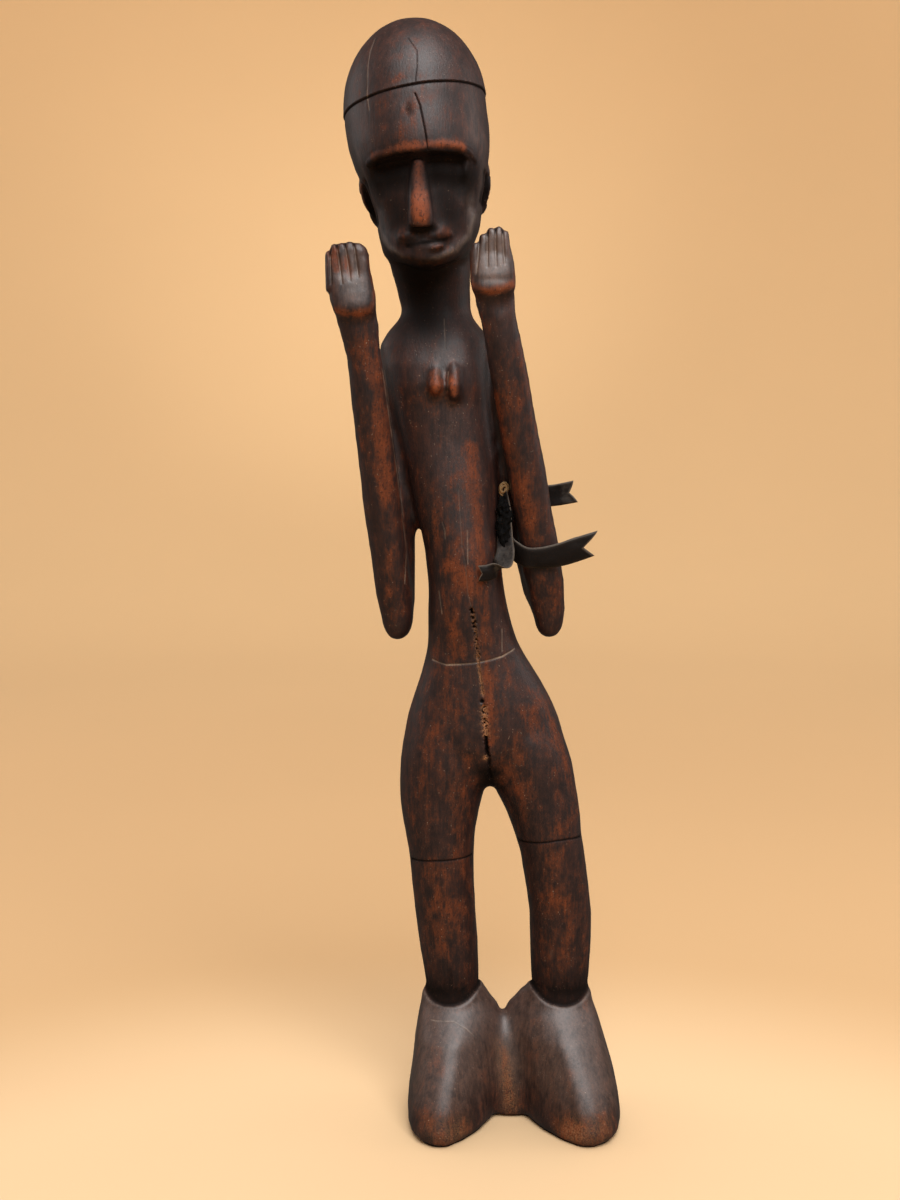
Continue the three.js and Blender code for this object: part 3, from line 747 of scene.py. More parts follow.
# The carver's lines round the waist and the knees, from left to right, and fine scratches
WAIST_LINE = [
    (-46, 394), (-41.9, 391), (-26.5, 387), (-15.2, 388), (-5.5, 389), (6.6, 391), (18.8, 394), (30, 399),
]
KNEE_LINES = [
    [(-56, 220), (-53.8, 221), (-35.7, 223.3), (-20.8, 223.8), (-10, 224), (-4, 224)],
    [(33, 236), (37.1, 236.8), (50, 238.4), (63.9, 240.5), (74.2, 240.9), (83.4, 239.8), (88, 239)],
]
FINE_LINES = [
    [(18.9, 416), (18.9, 398)],
    [(-32.2, 447.5), (-29.8, 429)],
    [(-39.2, 86), (-20, 87), (-10, 82), (-3.4, 76)],
    [(-29.5, 503), (-27.5, 497), (-27.0, 490)],
    [(-9.5, 497), (-9.0, 470)],
    [(-76.3, 624), (-65.5, 542), (-58.6, 479), (-60.2, 452)],
    [(38, 404), (46, 386), (50, 372)],
    [(-28, 664), (-27, 640)],
    [(-24.6, 622), (-25.4, 606)],
]
CUT_LINES = [WAIST_LINE, FOREHEAD_SPLIT, BELLY_LINE, *KNEE_LINES, *FINE_LINES, *HAIR_SPLITS]

# The hair's edge lies in a plane: a point of it, the way it faces, and a level that is all below it
HAIRLINE_POINT = np.array([-50.3, 6.05, 832.0])
HAIRLINE_FACING = np.array([-0.1652, 0.0591, 0.9845])
BROW_LEVEL = 780

# The edge of the jaw round the hollow face, as x and z
JAW_RIM = [
    (-82, 742), (-78, 729), (-70, 717), (-60, 709.5), (-46, 706.5), (-32, 708), (-19, 714.5), (-9, 726),
    (-5, 742),
]

# Each shin where it meets the foot: the x and y of its middle, half its width and half its depth,
# and a level that is just above both feet
SHINS = [(-21, 13, 23.3, 24), (70, 13, 24.4, 24)]
FEET_TOP = 112

# The upper edge of the hollow face, as x and z
HOLLOW_TOP = [
    (-85, 777), (-79, 780.6), (-65, 783), (-44, 784.6), (-38, 786), (-17, 786.4), (-8.5, 783.5), (-6, 779),
]

# The wear of the wood, each place as from, to, width and strength: first where the crust is rubbed, which
# on the lips is also a painted highlight
RUBBED_AND_HIGHLIGHT = [
    ((-82, -34, 650), (-66, -14, 430), 17, 0.4),
    ((26, -26, 650), (60, -10, 420), 17, 0.4),
    ((-20, -22, 540), (-10, -26, 400), 34, 0.33),
    ((-28, -16, 370), (-20, -14, 130), 34, 0.36),
    ((30, -16, 370), (74, -8, 250), 36, 0.42),
    ((74, -8, 250), (70, -10, 130), 26, 0.42),
    ((-40, -34, 830), (-40, -34, 780), 40, 0.12),
    ((16, -8, 72), (28, -12, 6), 16, 0.25),
    ((-34.6, -33, 620), (-34.4, -35, 606), 8, 0.6),
    ((-20.6, -33, 620), (-20.0, -36, 606), 8, 0.6),
    # The upper lip's right lobe is painted brighter than its left, and the lower lip paler, as highlights
    ((-33, -47, 726), (-26, -44, 727), 5, 0.75),
    ((-64, -40, 727), (-52, -45, 723.5), 4, 0.45),
    ((-37, -48, 714.5), (-30, -46, 716.5), 2.6, 0.45),
    ((-84, -37, 632), (-77, -29, 568), 9, 0.95),
    ((-77, -29, 568), (-75, -22, 520), 8, 0.95),
    ((-75, -22, 500), (-70, -14, 440), 9, 0.7),
    ((-62, -8, 560), (-58, -4, 470), 6, 0.6),
    ((14, -24, 600), (41, -19, 505), 10, 0.9),
    ((41, -19, 505), (54, -14, 450), 10, 0.7),
    ((58, -12, 450), (60, -8, 415), 9, 0.6),
    ((-7, -22, 560), (2, -27, 457), 7, 0.95),
    ((-21, -26, 540), (-22, -27, 515), 5, 0.7),
    ((2, -27, 457), (5, -24, 408), 8, 0.8),
    ((-24, -30, 466), (-2, -30, 452), 13, 1.0),
    ((-22, -22, 450), (-18, -22, 392), 10, 0.7),
    ((-26, -22, 384), (-22, -22, 330), 9, 0.55),
    ((6, -25, 400), (9.5, -25, 325), 4.5, 1.0),
    ((14, -25, 384), (18, -25, 350), 7, 0.5),
    ((-7, -24, 310), (-14, -22, 255), 7, 0.8),
    ((22, -24, 300), (36, -20, 262), 9, 0.8),
    ((60, -10, 340), (72, -3, 290), 9, 0.75),
    ((72, -3, 290), (78, -2, 258), 8, 0.8),
    ((-30, -20, 186), (-8, -20, 180), 12, 0.85),
    ((-10, -16, 215), (-8, -18, 160), 8, 0.85),
    ((-16, -18, 160), (-14, -18, 125), 9, 0.5),
    ((56, -18, 190), (84, -18, 182), 11, 0.8),
    ((62, -20, 250), (76, -20, 246), 8, 0.8),
    ((62, -20, 224), (70, -20, 205), 8, 0.5),
    ((64, -20, 160), (68, -20, 120), 9, 0.6),
    ((-56, -53, 824), (-52, -53, 812), 8, 0.6),
    ((-80, -44, 822), (-60, -50, 828), 5, 0.5),
    ((-93, -30, 832), (-60, -50, 840), 4, 0.75),
    ((-75, -46, 800), (-60, -52, 797), 8, 0.3),
    ((-111, -48, 712), (-110, -49, 698), 4, 0.8),
    ((-104, -48, 706), (-101, -49, 694), 4, 0.9),
    ((20, -10, 66), (28, -13, 8), 6, 0.5),
    ((-28, -27, 650), (-26, -30, 600), 16, 0.25),
    ((-38, -56, 18), (-6, -64, 8), 17, 0.8),
    ((66, -64, 8), (98, -56, 14), 17, 0.85),
]

# Where the wood is bare and orange, which is also a painted highlight along the brow ridge, down the nose,
# on the nubs and round the heels of the palms
BARE_AND_HIGHLIGHT = [
    ((-82, -40, 784), (-63, -51, 788), 4.4, 0.75),
    ((-63, -52, 788), (-48, -54.5, 789.5), 4.6, 0.8),
    ((-48, -54.5, 789.5), (-28, -52, 791.5), 4.4, 0.75),
    ((-28, -52, 791.5), (-14, -44, 790.5), 4.4, 0.7),
    ((-47.6, -50, 776), (-46.8, -53, 756), 5.5, 0.7),
    ((-46.5, -55, 752), (-45.5, -57, 738), 8, 1.0),
    ((-34.4, -33, 614), (-34.4, -35, 607), 5.0, 0.55),
    ((-20.4, -33, 615), (-20.0, -36, 606), 5.4, 0.65),
    ((-111, -47, 668), (-99, -52, 662.5), 5.0, 0.6),
    ((-99, -52, 662.5), (-87, -48, 668), 5.0, 0.65),
    ((-87, -48, 668), (-82, -44, 682), 4.0, 0.65),
    ((-82, -44, 682), (-88, -45, 706), 2.6, 0.55),
    ((-7.5, -46, 700), (-6, -48, 687), 3.0, 0.55),
    ((-6, -48, 687), (7, -53, 680.5), 4.6, 0.6),
    ((7, -53, 680.5), (25, -49, 687), 4.8, 0.65),
    ((25, -49, 687), (26, -46, 702), 3.0, 0.5),
]

# Where grey dust has settled on the palms, and where a grey sheen is painted: on the right cheek, the right
# of the forehead, the temples and the chest
DUST_AND_SHEEN = [
    ((-100, -50, 705), (-98, -50, 680), 16, 0.55),
    ((9, -51, 720), (9, -51, 697), 16, 0.85),
    ((-10, -34, 765), (-6, -28, 735), 9, 0.6),
    ((0, -34, 835), (-4, -34, 800), 14, 0.35),
    ((-94, -22, 800), (-90, -22, 760), 7, 0.4),
    ((4, -20, 800), (2, -20, 740), 12, 0.4),
    ((-30, -27, 650), (-26, -30, 560), 12, 0.3),
]

# Where the wood is dry and pale brown
DRY = [
    ((21, -14, 66), (28, -16, 8), 6, 0.42),
    ((-30, -58, 12), (-10, -64, 9), 13, 0.3),
    ((74, -64, 10), (94, -58, 12), 13, 0.36),
]

# Where the wood is painted blackest: dirt, and painted shade in the hollow face under the brow, under the
# nose, along the mouth and over the lips, under the chin, on the neck and in the groin
DARK = [
    ((-78, -38, 768), (-62, -44, 771), 16, 0.9),
    ((-34, -44, 771), (-12, -36, 768), 16, 0.95),
    ((-68, -42, 750), (-62, -42, 738), 14, 0.6),
    ((-28, -44, 756), (-24, -42, 742), 14, 0.7),
    ((-50, -46, 729), (-36, -47, 729), 4.5, 0.9),
    ((-56.4, -43, 716.5), (-41.5, -47, 718.9), 2.0, 0.95),
    ((-41.5, -47, 718.9), (-25, -43, 721.7), 1.9, 0.95),
    ((9.5, -16, 298), (9.5, -8, 284), 9, 0.8),
    ((-62, -28, 702), (-12, -28, 702), 7, 0.7),
    ((-50, -16, 706), (-43, -20, 668), 24, 1.0),
    ((-54, -42, 723), (-28, -44, 723), 8, 0.4),
]

# The gouge in the forehead, as x and z, and small dents, as x, z and radius
GOUGE = (-54.2, 816.9)
DENTS = [
    (24, 446, 1.6), (-31, 618, 1.6), (24, 500, 1.4), (50, 330, 1.5), (57, 322, 1.2), (44, 342, 1.0),
    (30, 356, 1.1), (-34, 352, 1.3), (-28, 300, 1.0), (66, 262, 1.2), (-18, 250, 1.0), (62, 140, 1.0),
]


# The forms of the figure


def add_flanks(work):
    """Adds the inner flanks of the feet."""
    for flank in WEB_FLANKS:
        whittled(work, flank)


def add_fingers(work, fingers, foot, depth):
    """Adds the fingers of a hand, which start at the level foot, with their middles at this depth."""
    for foot_x, tip_x, tip, half in fingers:
        stations = [
            (foot_x, depth, foot, half, FINGER_DEPTH),
            ((foot_x + tip_x) / 2, depth - 0.4, (foot + tip) / 2, half, FINGER_DEPTH),
            (tip_x, depth - 0.2, tip - half, half * 0.94, FINGER_DEPTH * 0.86),
        ]
        whittled(work, stations)


def add_ear(work, middle, long_way, short_way):
    """Adds the rim of an ear, an oval that is a little pinched above and below."""
    rim = []
    for step in range(EAR_STEPS + 1):
        turn = math.tau * step / EAR_STEPS
        reach = EAR_LENGTH * math.cos(turn)
        spread = EAR_WIDTH * math.sin(turn) * (1 - 0.25 * abs(math.cos(turn)))
        place = np.array(middle) + reach * np.array(long_way) + spread * np.array(short_way)
        rim.append((*place, EAR_RIM, EAR_RIM))
    whittled(work, rim, across=np.cross(long_way, short_way), sides=10, closed=True)


def add_details(work):
    """Adds the nose, brow, lips, nubs, hands and ears."""
    whittled(work, NOSE, square=3.6, sides=24, blunt=0.22)
    whittled(work, BROW, across=(0, 0, 1), square=2.4)
    for lip in LIPS:
        whittled(work, lip, across=(0, 0, 1))
    for nub in NUBS:
        whittled(work, nub)
    for palm, _, _, _ in HANDS:
        whittled(work, palm, square=2.6, sides=20)
    for _, fingers, foot, depth in HANDS:
        add_fingers(work, fingers, foot, depth)
    for ear in EARS:
        add_ear(work, *ear)


# The carved surface


def paint_wear_and_light(surface):
    """Marks where the wood is rubbed, bare, dusty, dry or black, and where highlights, sheen and shade are
    painted.
    """
    wear_and_light = (("rubbed", RUBBED_AND_HIGHLIGHT), ("bare", BARE_AND_HIGHLIGHT), ("dust", DUST_AND_SHEEN), ("crumb", DRY), ("soot", DARK))
    for name, places in wear_and_light:
        for start, end, width, strength in places:
            distance, _ = along([start, end], surface.points)
            surface.mark(name, strength * bell(distance, width))


def deepen_hollow(surface):
    """Cuts the hollow face in sharply under the brow, where the smoothing has rounded it, and paints shade
    into the hollow under the brow.
    """
    x, _, z = surface.points.T
    corners = np.array(HOLLOW_TOP)
    below = np.interp(x, corners[:, 0], corners[:, 1]) - z
    inside = (x > corners[0, 0]) * (x < corners[-1, 0]) * (surface.points[:, 1] < -20)
    ends = smooth_step(-86, -79, x) * (1 - smooth_step(-14, -6, x))
    sunk = smooth_step(0.2, 2.2, below) * (1 - smooth_step(3, 16, below)) * inside * ends
    nose = bell(x + 47.8, 7.5)
    surface.points[:, 1] += 4.2 * sunk * (1 - 0.75 * nose)
    surface.mark("soot", 0.75 * window(1, 8, below, 6) * inside * ends * (1 - 0.6 * nose))


def round_jaw(surface):
    """Leaves the jaw standing a little round the hollow face, with a painted sheen and a thin pale painted
    highlight on its two sides.
    """
    distance, place = along(JAW_RIM, surface.from_front())
    front = surface.front_of(-60, -8)
    surface.raise_by(0.8 * bell(distance, 2.6) * front)
    surface.raise_by(-0.5 * bell(distance - 6, 3.0) * front)
    sides = front * (1 - 0.8 * bell(place - 0.45, 0.14))
    surface.mark("dust", 0.9 * bell(distance, 2.6) * sides)
    surface.mark("line", 0.5 * bell(distance, 1.0) * sides * (0.8 + 0.5 * grain_noise(surface.points, 5)))


def hollow_ears(surface):
    """Sinks the bowl of each ear and the slit before it, and paints shade into both; along each ear's ridge
    it marks red-brown wear and a pale painted highlight.
    """
    for middle, long_way, short_way in EARS:
        away = surface.points - np.array(middle)
        reach = away @ np.array(long_way) / (EAR_LENGTH * 0.74)
        spread = away @ np.array(short_way) / (EAR_WIDTH * 0.72)
        height = away @ np.cross(long_way, short_way)
        inside = bell(np.hypot(reach, spread) ** 2, 1.0) * (np.abs(height) < 9)
        surface.raise_by(-2.6 * inside)
        surface.mark("soot", 0.95 * inside)
    forwards = 0.25 + 0.75 * smooth_step(-0.1, 0.4, -surface.facing[:, 1])
    side = window(-16, 6, surface.points[:, 1], 7) * forwards
    for line in EAR_SLITS:
        distance, _ = along(line, surface.from_front())
        surface.raise_by(-2.6 * bell(distance, 2.8) * side)
        surface.mark("soot", 0.9 * bell(distance, 3.0) * side)
    for line in EAR_RIDGES:
        distance, _ = along(line, surface.from_front())
        surface.mark("rubbed", 0.8 * bell(distance, 1.4) * side)
        surface.mark("line", 0.5 * bell(distance, 0.7) * side)


def cut_line(surface, line, half_width, depth, near=(-90, -8)):
    """Cuts a groove along a line on the front, and gives the share of it that each point is in."""
    distance, _ = along(line, surface.from_front())
    amount = bell(distance, half_width) * surface.front_of(*near)
    surface.raise_by(-depth * amount)
    return amount


def cut_hairline(surface, step):
    """Sharpens the step of the hair over the forehead, with a thin painted shadow under its edge."""
    height = (surface.points - HAIRLINE_POINT) @ HAIRLINE_FACING
    head = surface.points[:, 2] > BROW_LEVEL
    blurred = 1 / (1 + np.exp(-0.5 * height))
    crisp = smooth_step(-0.4, 0.4, height)
    under = bell(height + 0.6, 0.65)
    surface.raise_by(head * (step * (crisp - blurred) * bell(height, 12) - 0.35 * under))
    surface.mark("soot", head * under)


def open_crack(surface, depth):
    """Opens the long crack: insect holes, crumbly wood, a pale eaten stretch and a black split."""
    distance, _ = along(CRACK, surface.from_front())
    z = surface.points[:, 2]
    front = surface.front_of(-60, -8)
    ragged = 1 + 0.5 * grain_noise(surface.points, 2.6, octaves=2)
    faint = window(434, 485, z, 6)
    crumbly = window(394, 433, z, 3)
    thin = window(364, 394, z, 3)
    eaten = window(330, 354, z, 3)
    split = window(312, 328, z, 2)
    groin = window(288, 309, z, 3)
    half_width = (0.4 + 0.55 * crumbly + 0.3 * thin + 1.2 * eaten + 0.8 * split + 1.2 * groin) * ragged
    amount = bell(distance, half_width) * front
    share = 0.1 * faint + 0.35 * crumbly + 0.3 * thin + 0.4 * eaten + 1.0 * split + 0.5 * groin
    surface.raise_by(-amount * depth * share)
    pits = smooth_step(0.1, 0.5, grain_noise(surface.points + 40, 2.0)) * (crumbly + eaten)
    near = bell(distance, 1.3 * half_width + 0.4) * front
    surface.raise_by(-1.1 * pits * near)
    surface.mark("crumb", near * (0.5 * crumbly + 0.7 * thin + 0.9 * eaten) * (1 - 0.8 * pits))
    surface.mark("soot", np.maximum(amount * (split + 0.8 * groin), near * pits))
    surface.mark("line", 0.4 * bell(distance, 0.5) * front * faint)
    crumb_below = bell(np.hypot(surface.points[:, 0] - 5.7, z - 311), 2.2) * front
    surface.mark("crumb", crumb_below)
    for x, level, radius in CRACK_HOLES:
        hole = bell(np.hypot(surface.points[:, 0] - x, z - level), radius) * front
        surface.raise_by(-2.2 * hole)
        surface.mark("soot", smooth_step(0.25, 0.6, hole))


def cut_lines(surface):
    """Cuts the carver's lines, the smaller splits and the dents."""
    uneven = 0.95 + 0.6 * grain_noise(surface.points, 8, octaves=2)
    surface.mark("line", uneven * cut_line(surface, WAIST_LINE, 0.7, 0.4))
    for line in KNEE_LINES:
        surface.mark("soot", 0.9 * cut_line(surface, line, 0.8, 0.6, near=(-60, 4)))
    for line in FINE_LINES:
        surface.mark("line", 0.7 * cut_line(surface, line, 0.5, 0.15, near=(-90, 12)))
    surface.mark("line", 0.45 * cut_line(surface, BELLY_LINE, 0.5, 0.15))
    surface.mark("soot", cut_line(surface, FOREHEAD_SPLIT, 0.45, 0.9))
    pale_split, dark_split = HAIR_SPLITS
    surface.mark("line", 0.7 * cut_line(surface, pale_split, 0.45, 0.2))
    surface.mark("soot", 0.4 * cut_line(surface, dark_split, 0.4, 0.3))
    x, z = surface.from_front().T
    front = surface.front_of(-90, -4)
    away = np.hypot(x - GOUGE[0], z - GOUGE[1])
    rays = 0.5 + 0.5 * np.cos(9 * np.arctan2(z - GOUGE[1], x - GOUGE[0]))
    surface.raise_by((-1.1 * bell(away, 2.6) + 0.25 * bell(away - 4, 1.5)) * front)
    surface.mark("rubbed", bell(away - 5, 4) * (0.45 + 0.4 * rays) * front)
    surface.mark("soot", 0.6 * bell(away, 1.6) * front)
    for left, level, radius in DENTS:
        away = np.hypot(x - left, (z - level) * 0.6)
        surface.raise_by(-0.5 * bell(away, radius) * front)
        # A pale line on the upper rim of each dent only: a painted highlight
        surface.mark("line", 0.7 * bell(away - radius, 0.5) * front * (z > level))


def part_fingers(surface):
    """Cuts the gaps between the fingers of both hands, with pale dust in them and painted shade at their
    open ends.
    """
    hand = surface.front_of(-80, -36)
    for line in FINGER_GAPS:
        distance, place = along(line, surface.from_front())
        surface.raise_by(-1.3 * bell(distance, 0.85) * hand * (1.1 - 0.75 * place))
        surface.mark("line", 0.7 * bell(distance, 0.5) * hand * window(0.25, 0.95, place, 0.1))
        surface.mark("soot", 0.9 * bell(distance, 0.7) * hand * (1 - smooth_step(0.1, 0.3, place)))


def shin_reach(points):
    """How far out each point lies from the nearer shin, as a share of the shin's radius."""
    x, y, _ = points.T
    left, right = [np.hypot((x - side) / wide, (y - depth) / deep) for side, depth, wide, deep in SHINS]
    return np.minimum(left, right)


def carve_ankles(surface):
    """Sharpens the edge of the feet round the shins, paints shade in the crease under that edge, darkens
    the shins just above it, and dusts the feet up to it.
    """
    z = surface.points[:, 2]
    outside = shin_reach(surface.points)
    low = z < FEET_TOP
    foot = smooth_step(1.0, 1.03, outside) * low
    surface.mark("dust", 0.55 * foot * (0.35 + 0.65 * smooth_step(8, 45, z)))
    surface.mark("rubbed", 0.12 * foot)
    collar = low * (z > 78)
    surface.raise_by(collar * (0.9 * bell(outside - 1.07, 0.06) - 0.7 * bell(outside - 0.99, 0.03)))
    surface.mark("soot", 0.75 * collar * bell(outside - 0.985, 0.035))
    shin = bell(z - 96, 26) * (z > 84) * (1 - smooth_step(0.98, 1.0, outside) * low)
    surface.mark("soot", 0.45 * shin)
    surface.mark("line", 0.4 * collar * bell(outside - 1.035, 0.018))


def wander_knife(surface, reach):
    """Leaves the low waves of knife and rubbing on every surface."""
    waves = grain_noise(surface.points, 15, squeeze=(1, 1, 0.55), octaves=2)
    surface.raise_by(reach * waves)


def round_soles(surface):
    """Rounds the worn lower edges of the feet, paints a shadow along them where they meet the ground, and
    keeps the soles on the ground.
    """
    low = 1 - smooth_step(0, 5, surface.points[:, 2])
    surface.points[:, :2] -= 2.0 * low[:, None] * surface.facing[:, :2]
    surface.points[:, 2] = np.maximum(surface.points[:, 2], 0)
    surface.mark("soot", 0.85 * (1 - smooth_step(0.5, 3.5, surface.points[:, 2])))


# Where the surface needs small cells


def near_any(lines, points, reach):
    """True for points whose front view is within reach of one of the lines."""
    front = points[:, [0, 2]]
    found = np.zeros(len(points), bool)
    for line in lines:
        distance, _ = along(line, front)
        found |= distance < reach
    return found & (points[:, 1] < 0)


def near_hairline(points, reach):
    """True for points of the head within reach of the hair's edge."""
    return (np.abs((points - HAIRLINE_POINT) @ HAIRLINE_FACING) < reach) & (points[:, 2] > BROW_LEVEL)


def keeps_cells(points):
    """True where no face may be lost: the face, the ears, the hands, and beside the carved lines."""
    x, y, z = points.T
    face = (y < -24) & (z > 706) & (z < 796) & (x > -92) & (x < 4)
    hands = (z > 658) & (z < 740) & ((x < -80) | (x > -10)) & (y < -30)
    ears = (z > 732) & (z < 792) & ((x < -72) | (x > -8)) & (y > -16) & (y < 30)
    cut = near_hairline(points, 3) | near_any(CUT_LINES, points, 3) | near_any([CRACK], points, 6)
    return face | hands | ears | cut


def wants_detail(points):
    """True where faces are cut finer."""
    collar = (np.abs(shin_reach(points) - 1.02) < 0.09) & (points[:, 2] > 76) & (points[:, 2] < FEET_TOP)
    return (
        near_hairline(points, 1.8)
        | collar
        | near_any(CUT_LINES, points, 1.7)
        | near_any([CRACK], points, 5)
        | near_any(FINGER_GAPS, points, 2)
        | near_any([HOLLOW_TOP], points, 3)
    )


def wants_most_detail(points):
    """True where faces are cut finer once more: the open stretch of the long crack."""
    return near_any([CRACK], points, 3.2) & (points[:, 2] < 440)


# The figure


def shape_rough_form(piece, sizes):
    """Evens out the facets of the solid, fills its creases and rubs its long waves away."""
    join_forms(piece, add_flanks)
    even_out_cells(piece, sizes.rough_cell)
    soften(piece.data, sizes.rounds)
    x, y, z = points_of(piece.data).T
    web = window(2, 78, z, 8) * window(2, 56, x, 8) * (y < 40)
    groin = bell(np.hypot(x - 9, z - 292), 26)
    neck = window(664, 678, z, 6) * (np.abs(x + 34) < 60)
    wrists = window(655, 690, z, 6) * ((x < -80) | (x > -6)) * 0.5
    filled = web + groin * 0.8 + neck * 0.6 + wrists
    fill_creases(piece.data, 36, np.clip(filled, 0, 1))
    hips = window(262, 385, z, 30) * smooth_step(30, 50, np.abs(x - 12)) * (z > 236)
    elbows = 0.45 * window(392, 440, z, 16) * ((x > 44) | (x < -54))
    head = 0.7 * smooth_step(796, 820, z)
    for where in (hips, elbows, head):
        rub_down(piece.data, 64, where)


def shape_fine_form(piece, sizes):
    """Joins the details in one skin of even cells, and leaves the most cells where lines are cut."""
    join_forms(piece, add_details)
    even_out_cells(piece, sizes.cell)
    soften(piece.data, 4)
    thin_out(piece, sizes.faces, keeps_cells(points_of(piece.data)))
    refine(piece.data, wants_detail)
    refine(piece.data, wants_most_detail)


def carve_surface(mesh, sizes):
    """Cuts the relief of the carved surface and leaves the marks of its wear and of its painted light and
    shade.
    """
    surface = Surface(mesh)
    wander_knife(surface, sizes.knife_wander / MM)
    surface.settle()
    paint_wear_and_light(surface)
    carve_ankles(surface)
    cut_hairline(surface, sizes.hair_step / MM)
    deepen_hollow(surface)
    round_jaw(surface)
    hollow_ears(surface)
    surface.settle()
    cut_lines(surface)
    part_fingers(surface)
    open_crack(surface, sizes.crack_depth / MM)
    round_soles(surface)
    surface.finish()


class CarveFigure(bpy.types.Operator):
    """Carve the figure over its solid and give it its patina."""

    bl_idname = "figure.carve"
    bl_label = "Carve figure"

    def execute(self, context):
        sizes = context.scene.carving_sizes
        piece = link("carved_figure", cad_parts["figure"].data.copy())
        piece.data.materials.clear()
        shape_rough_form(piece, sizes)
        shape_fine_form(piece, sizes)
        carve_surface(piece.data, sizes)
        piece.data.shade_smooth()
        piece.data.materials.append(handled_wood(context.scene.wood_colours))
        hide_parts("figure")
        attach(piece, "root")
        return {"FINISHED"}


# The straps: where the middle of each strip runs, which way its width lies, and half its width

ARM_STRAP = [
    ((98.6, -14.2, 487.0), (0.12, 0, 1), 9.2),
    ((78.7, -17.35, 480.6), (0.06, -0.1, 1), 10),
    ((64.2, -18.15, 476.2), (0.03, -0.16, 1), 9.6),
    ((50.7, -17.95, 474), (0, -0.16, 1), 8.8),
    ((38.7, -15.95, 474.2), (-0.05, -0.1, 1), 8.3),
    ((29.9, -7.95, 478.5), (-0.12, 0, 1), 8.6),
    ((24.7, 1.05, 487), (-0.14, 0, 1), 8.8),
    ((20.9, 9.05, 496.5), (-0.14, 0, 1), 8.8),
    ((18.1, 17.55, 506), (-0.13, 0, 1), 8.8),
    ((19.7, 28.05, 513), (-0.1, 0, 1), 8.8),
    ((29.7, 32.65, 517.5), (0, 0, 1), 9),
    ((40.7, 32.05, 520), (0, 0, 1), 9),
    ((53.7, 29.05, 521.8), (0, 0.05, 1), 9),
    ((66.7, 25.05, 523.4), (-0.3, 0.1, 1), 9),
    ((81.0, 21.05, 526.4), (-0.85, 0.2, 0.6), 9.2),
]
TIE_STRAP = [
    ((20.5, -7.95, 527.6), (1, -0.6, 0.1), 2.6),
    ((20.6, -8.8, 515), (1, -0.5, 0), 5.8),
    ((20.7, -12.2, 501), (1, -0.45, 0), 6.6),
    ((20.9, -17.4, 488), (1, -0.35, 0), 6.8),
    ((20.9, -22.95, 477), (1, -0.25, 0.05), 7.8),
    ((17.2, -26.95, 467.8), (0.9, -0.1, 0.5), 8.2),
    ((8.6, -30.55, 463.2), (0.15, -0.1, 1), 6.8),
    ((-0.8, -32.75, 462.6), (-0.05, -0.1, 1), 6.4),
]

# A strip's steps across its width, and how far its edges curl up from its middle
ACROSS_STEPS = 12
STRIP_CURL = 0.8

# The cord round the head of the knot: its middle, its first radius, half its thickness and its turns
COIL = ((20.1, -6.6, 529.0), 3.8, 0.85, 4)

# The crumpled knot under the cord, as x, y, z, half the width and half the depth
KNOT = [
    (20.6, -9.0, 521.0, 2.6, 2.6), (19.4, -10.6, 515.0, 5.6, 3.8), (21.4, -12.2, 507.0, 6.4, 4.2),
    (19.6, -14.2, 499.0, 6.4, 4.0), (20.6, -16.6, 491.0, 5.4, 3.6), (20.2, -18.8, 484.0, 2.4, 2.0),
]

# How deep the knot is creased
KNOT_CREASE = 2.6


def strip_place(places, widths, u):
    """The middle of a strip at u, from 0 to 1, and the ways that its width and its upper face point."""
    before, after = through(places, max(u - 0.004, 0)), through(places, min(u + 0.004, 1))
    ahead = (after - before).normalized()
    across = through(widths, u)
    across = (across - across.dot(ahead) * ahead).normalized()
    return through(places, u), across, ahead.cross(across)


def close_strip(work, ring, turned):
    """Closes the cut end of a strip with faces from its upper to its lower side."""
    top = ring[: ACROSS_STEPS + 1]
    bottom = [ring[0], *reversed(ring[ACROSS_STEPS + 1 :]), ring[ACROSS_STEPS]]
    for j in range(ACROSS_STEPS):
        corners = [top[j], top[j + 1], bottom[j + 1], bottom[j]]
        corners = [corner for i, corner in enumerate(corners) if corner not in corners[:i]]
        work.faces.new(corners if turned else list(reversed(corners)))


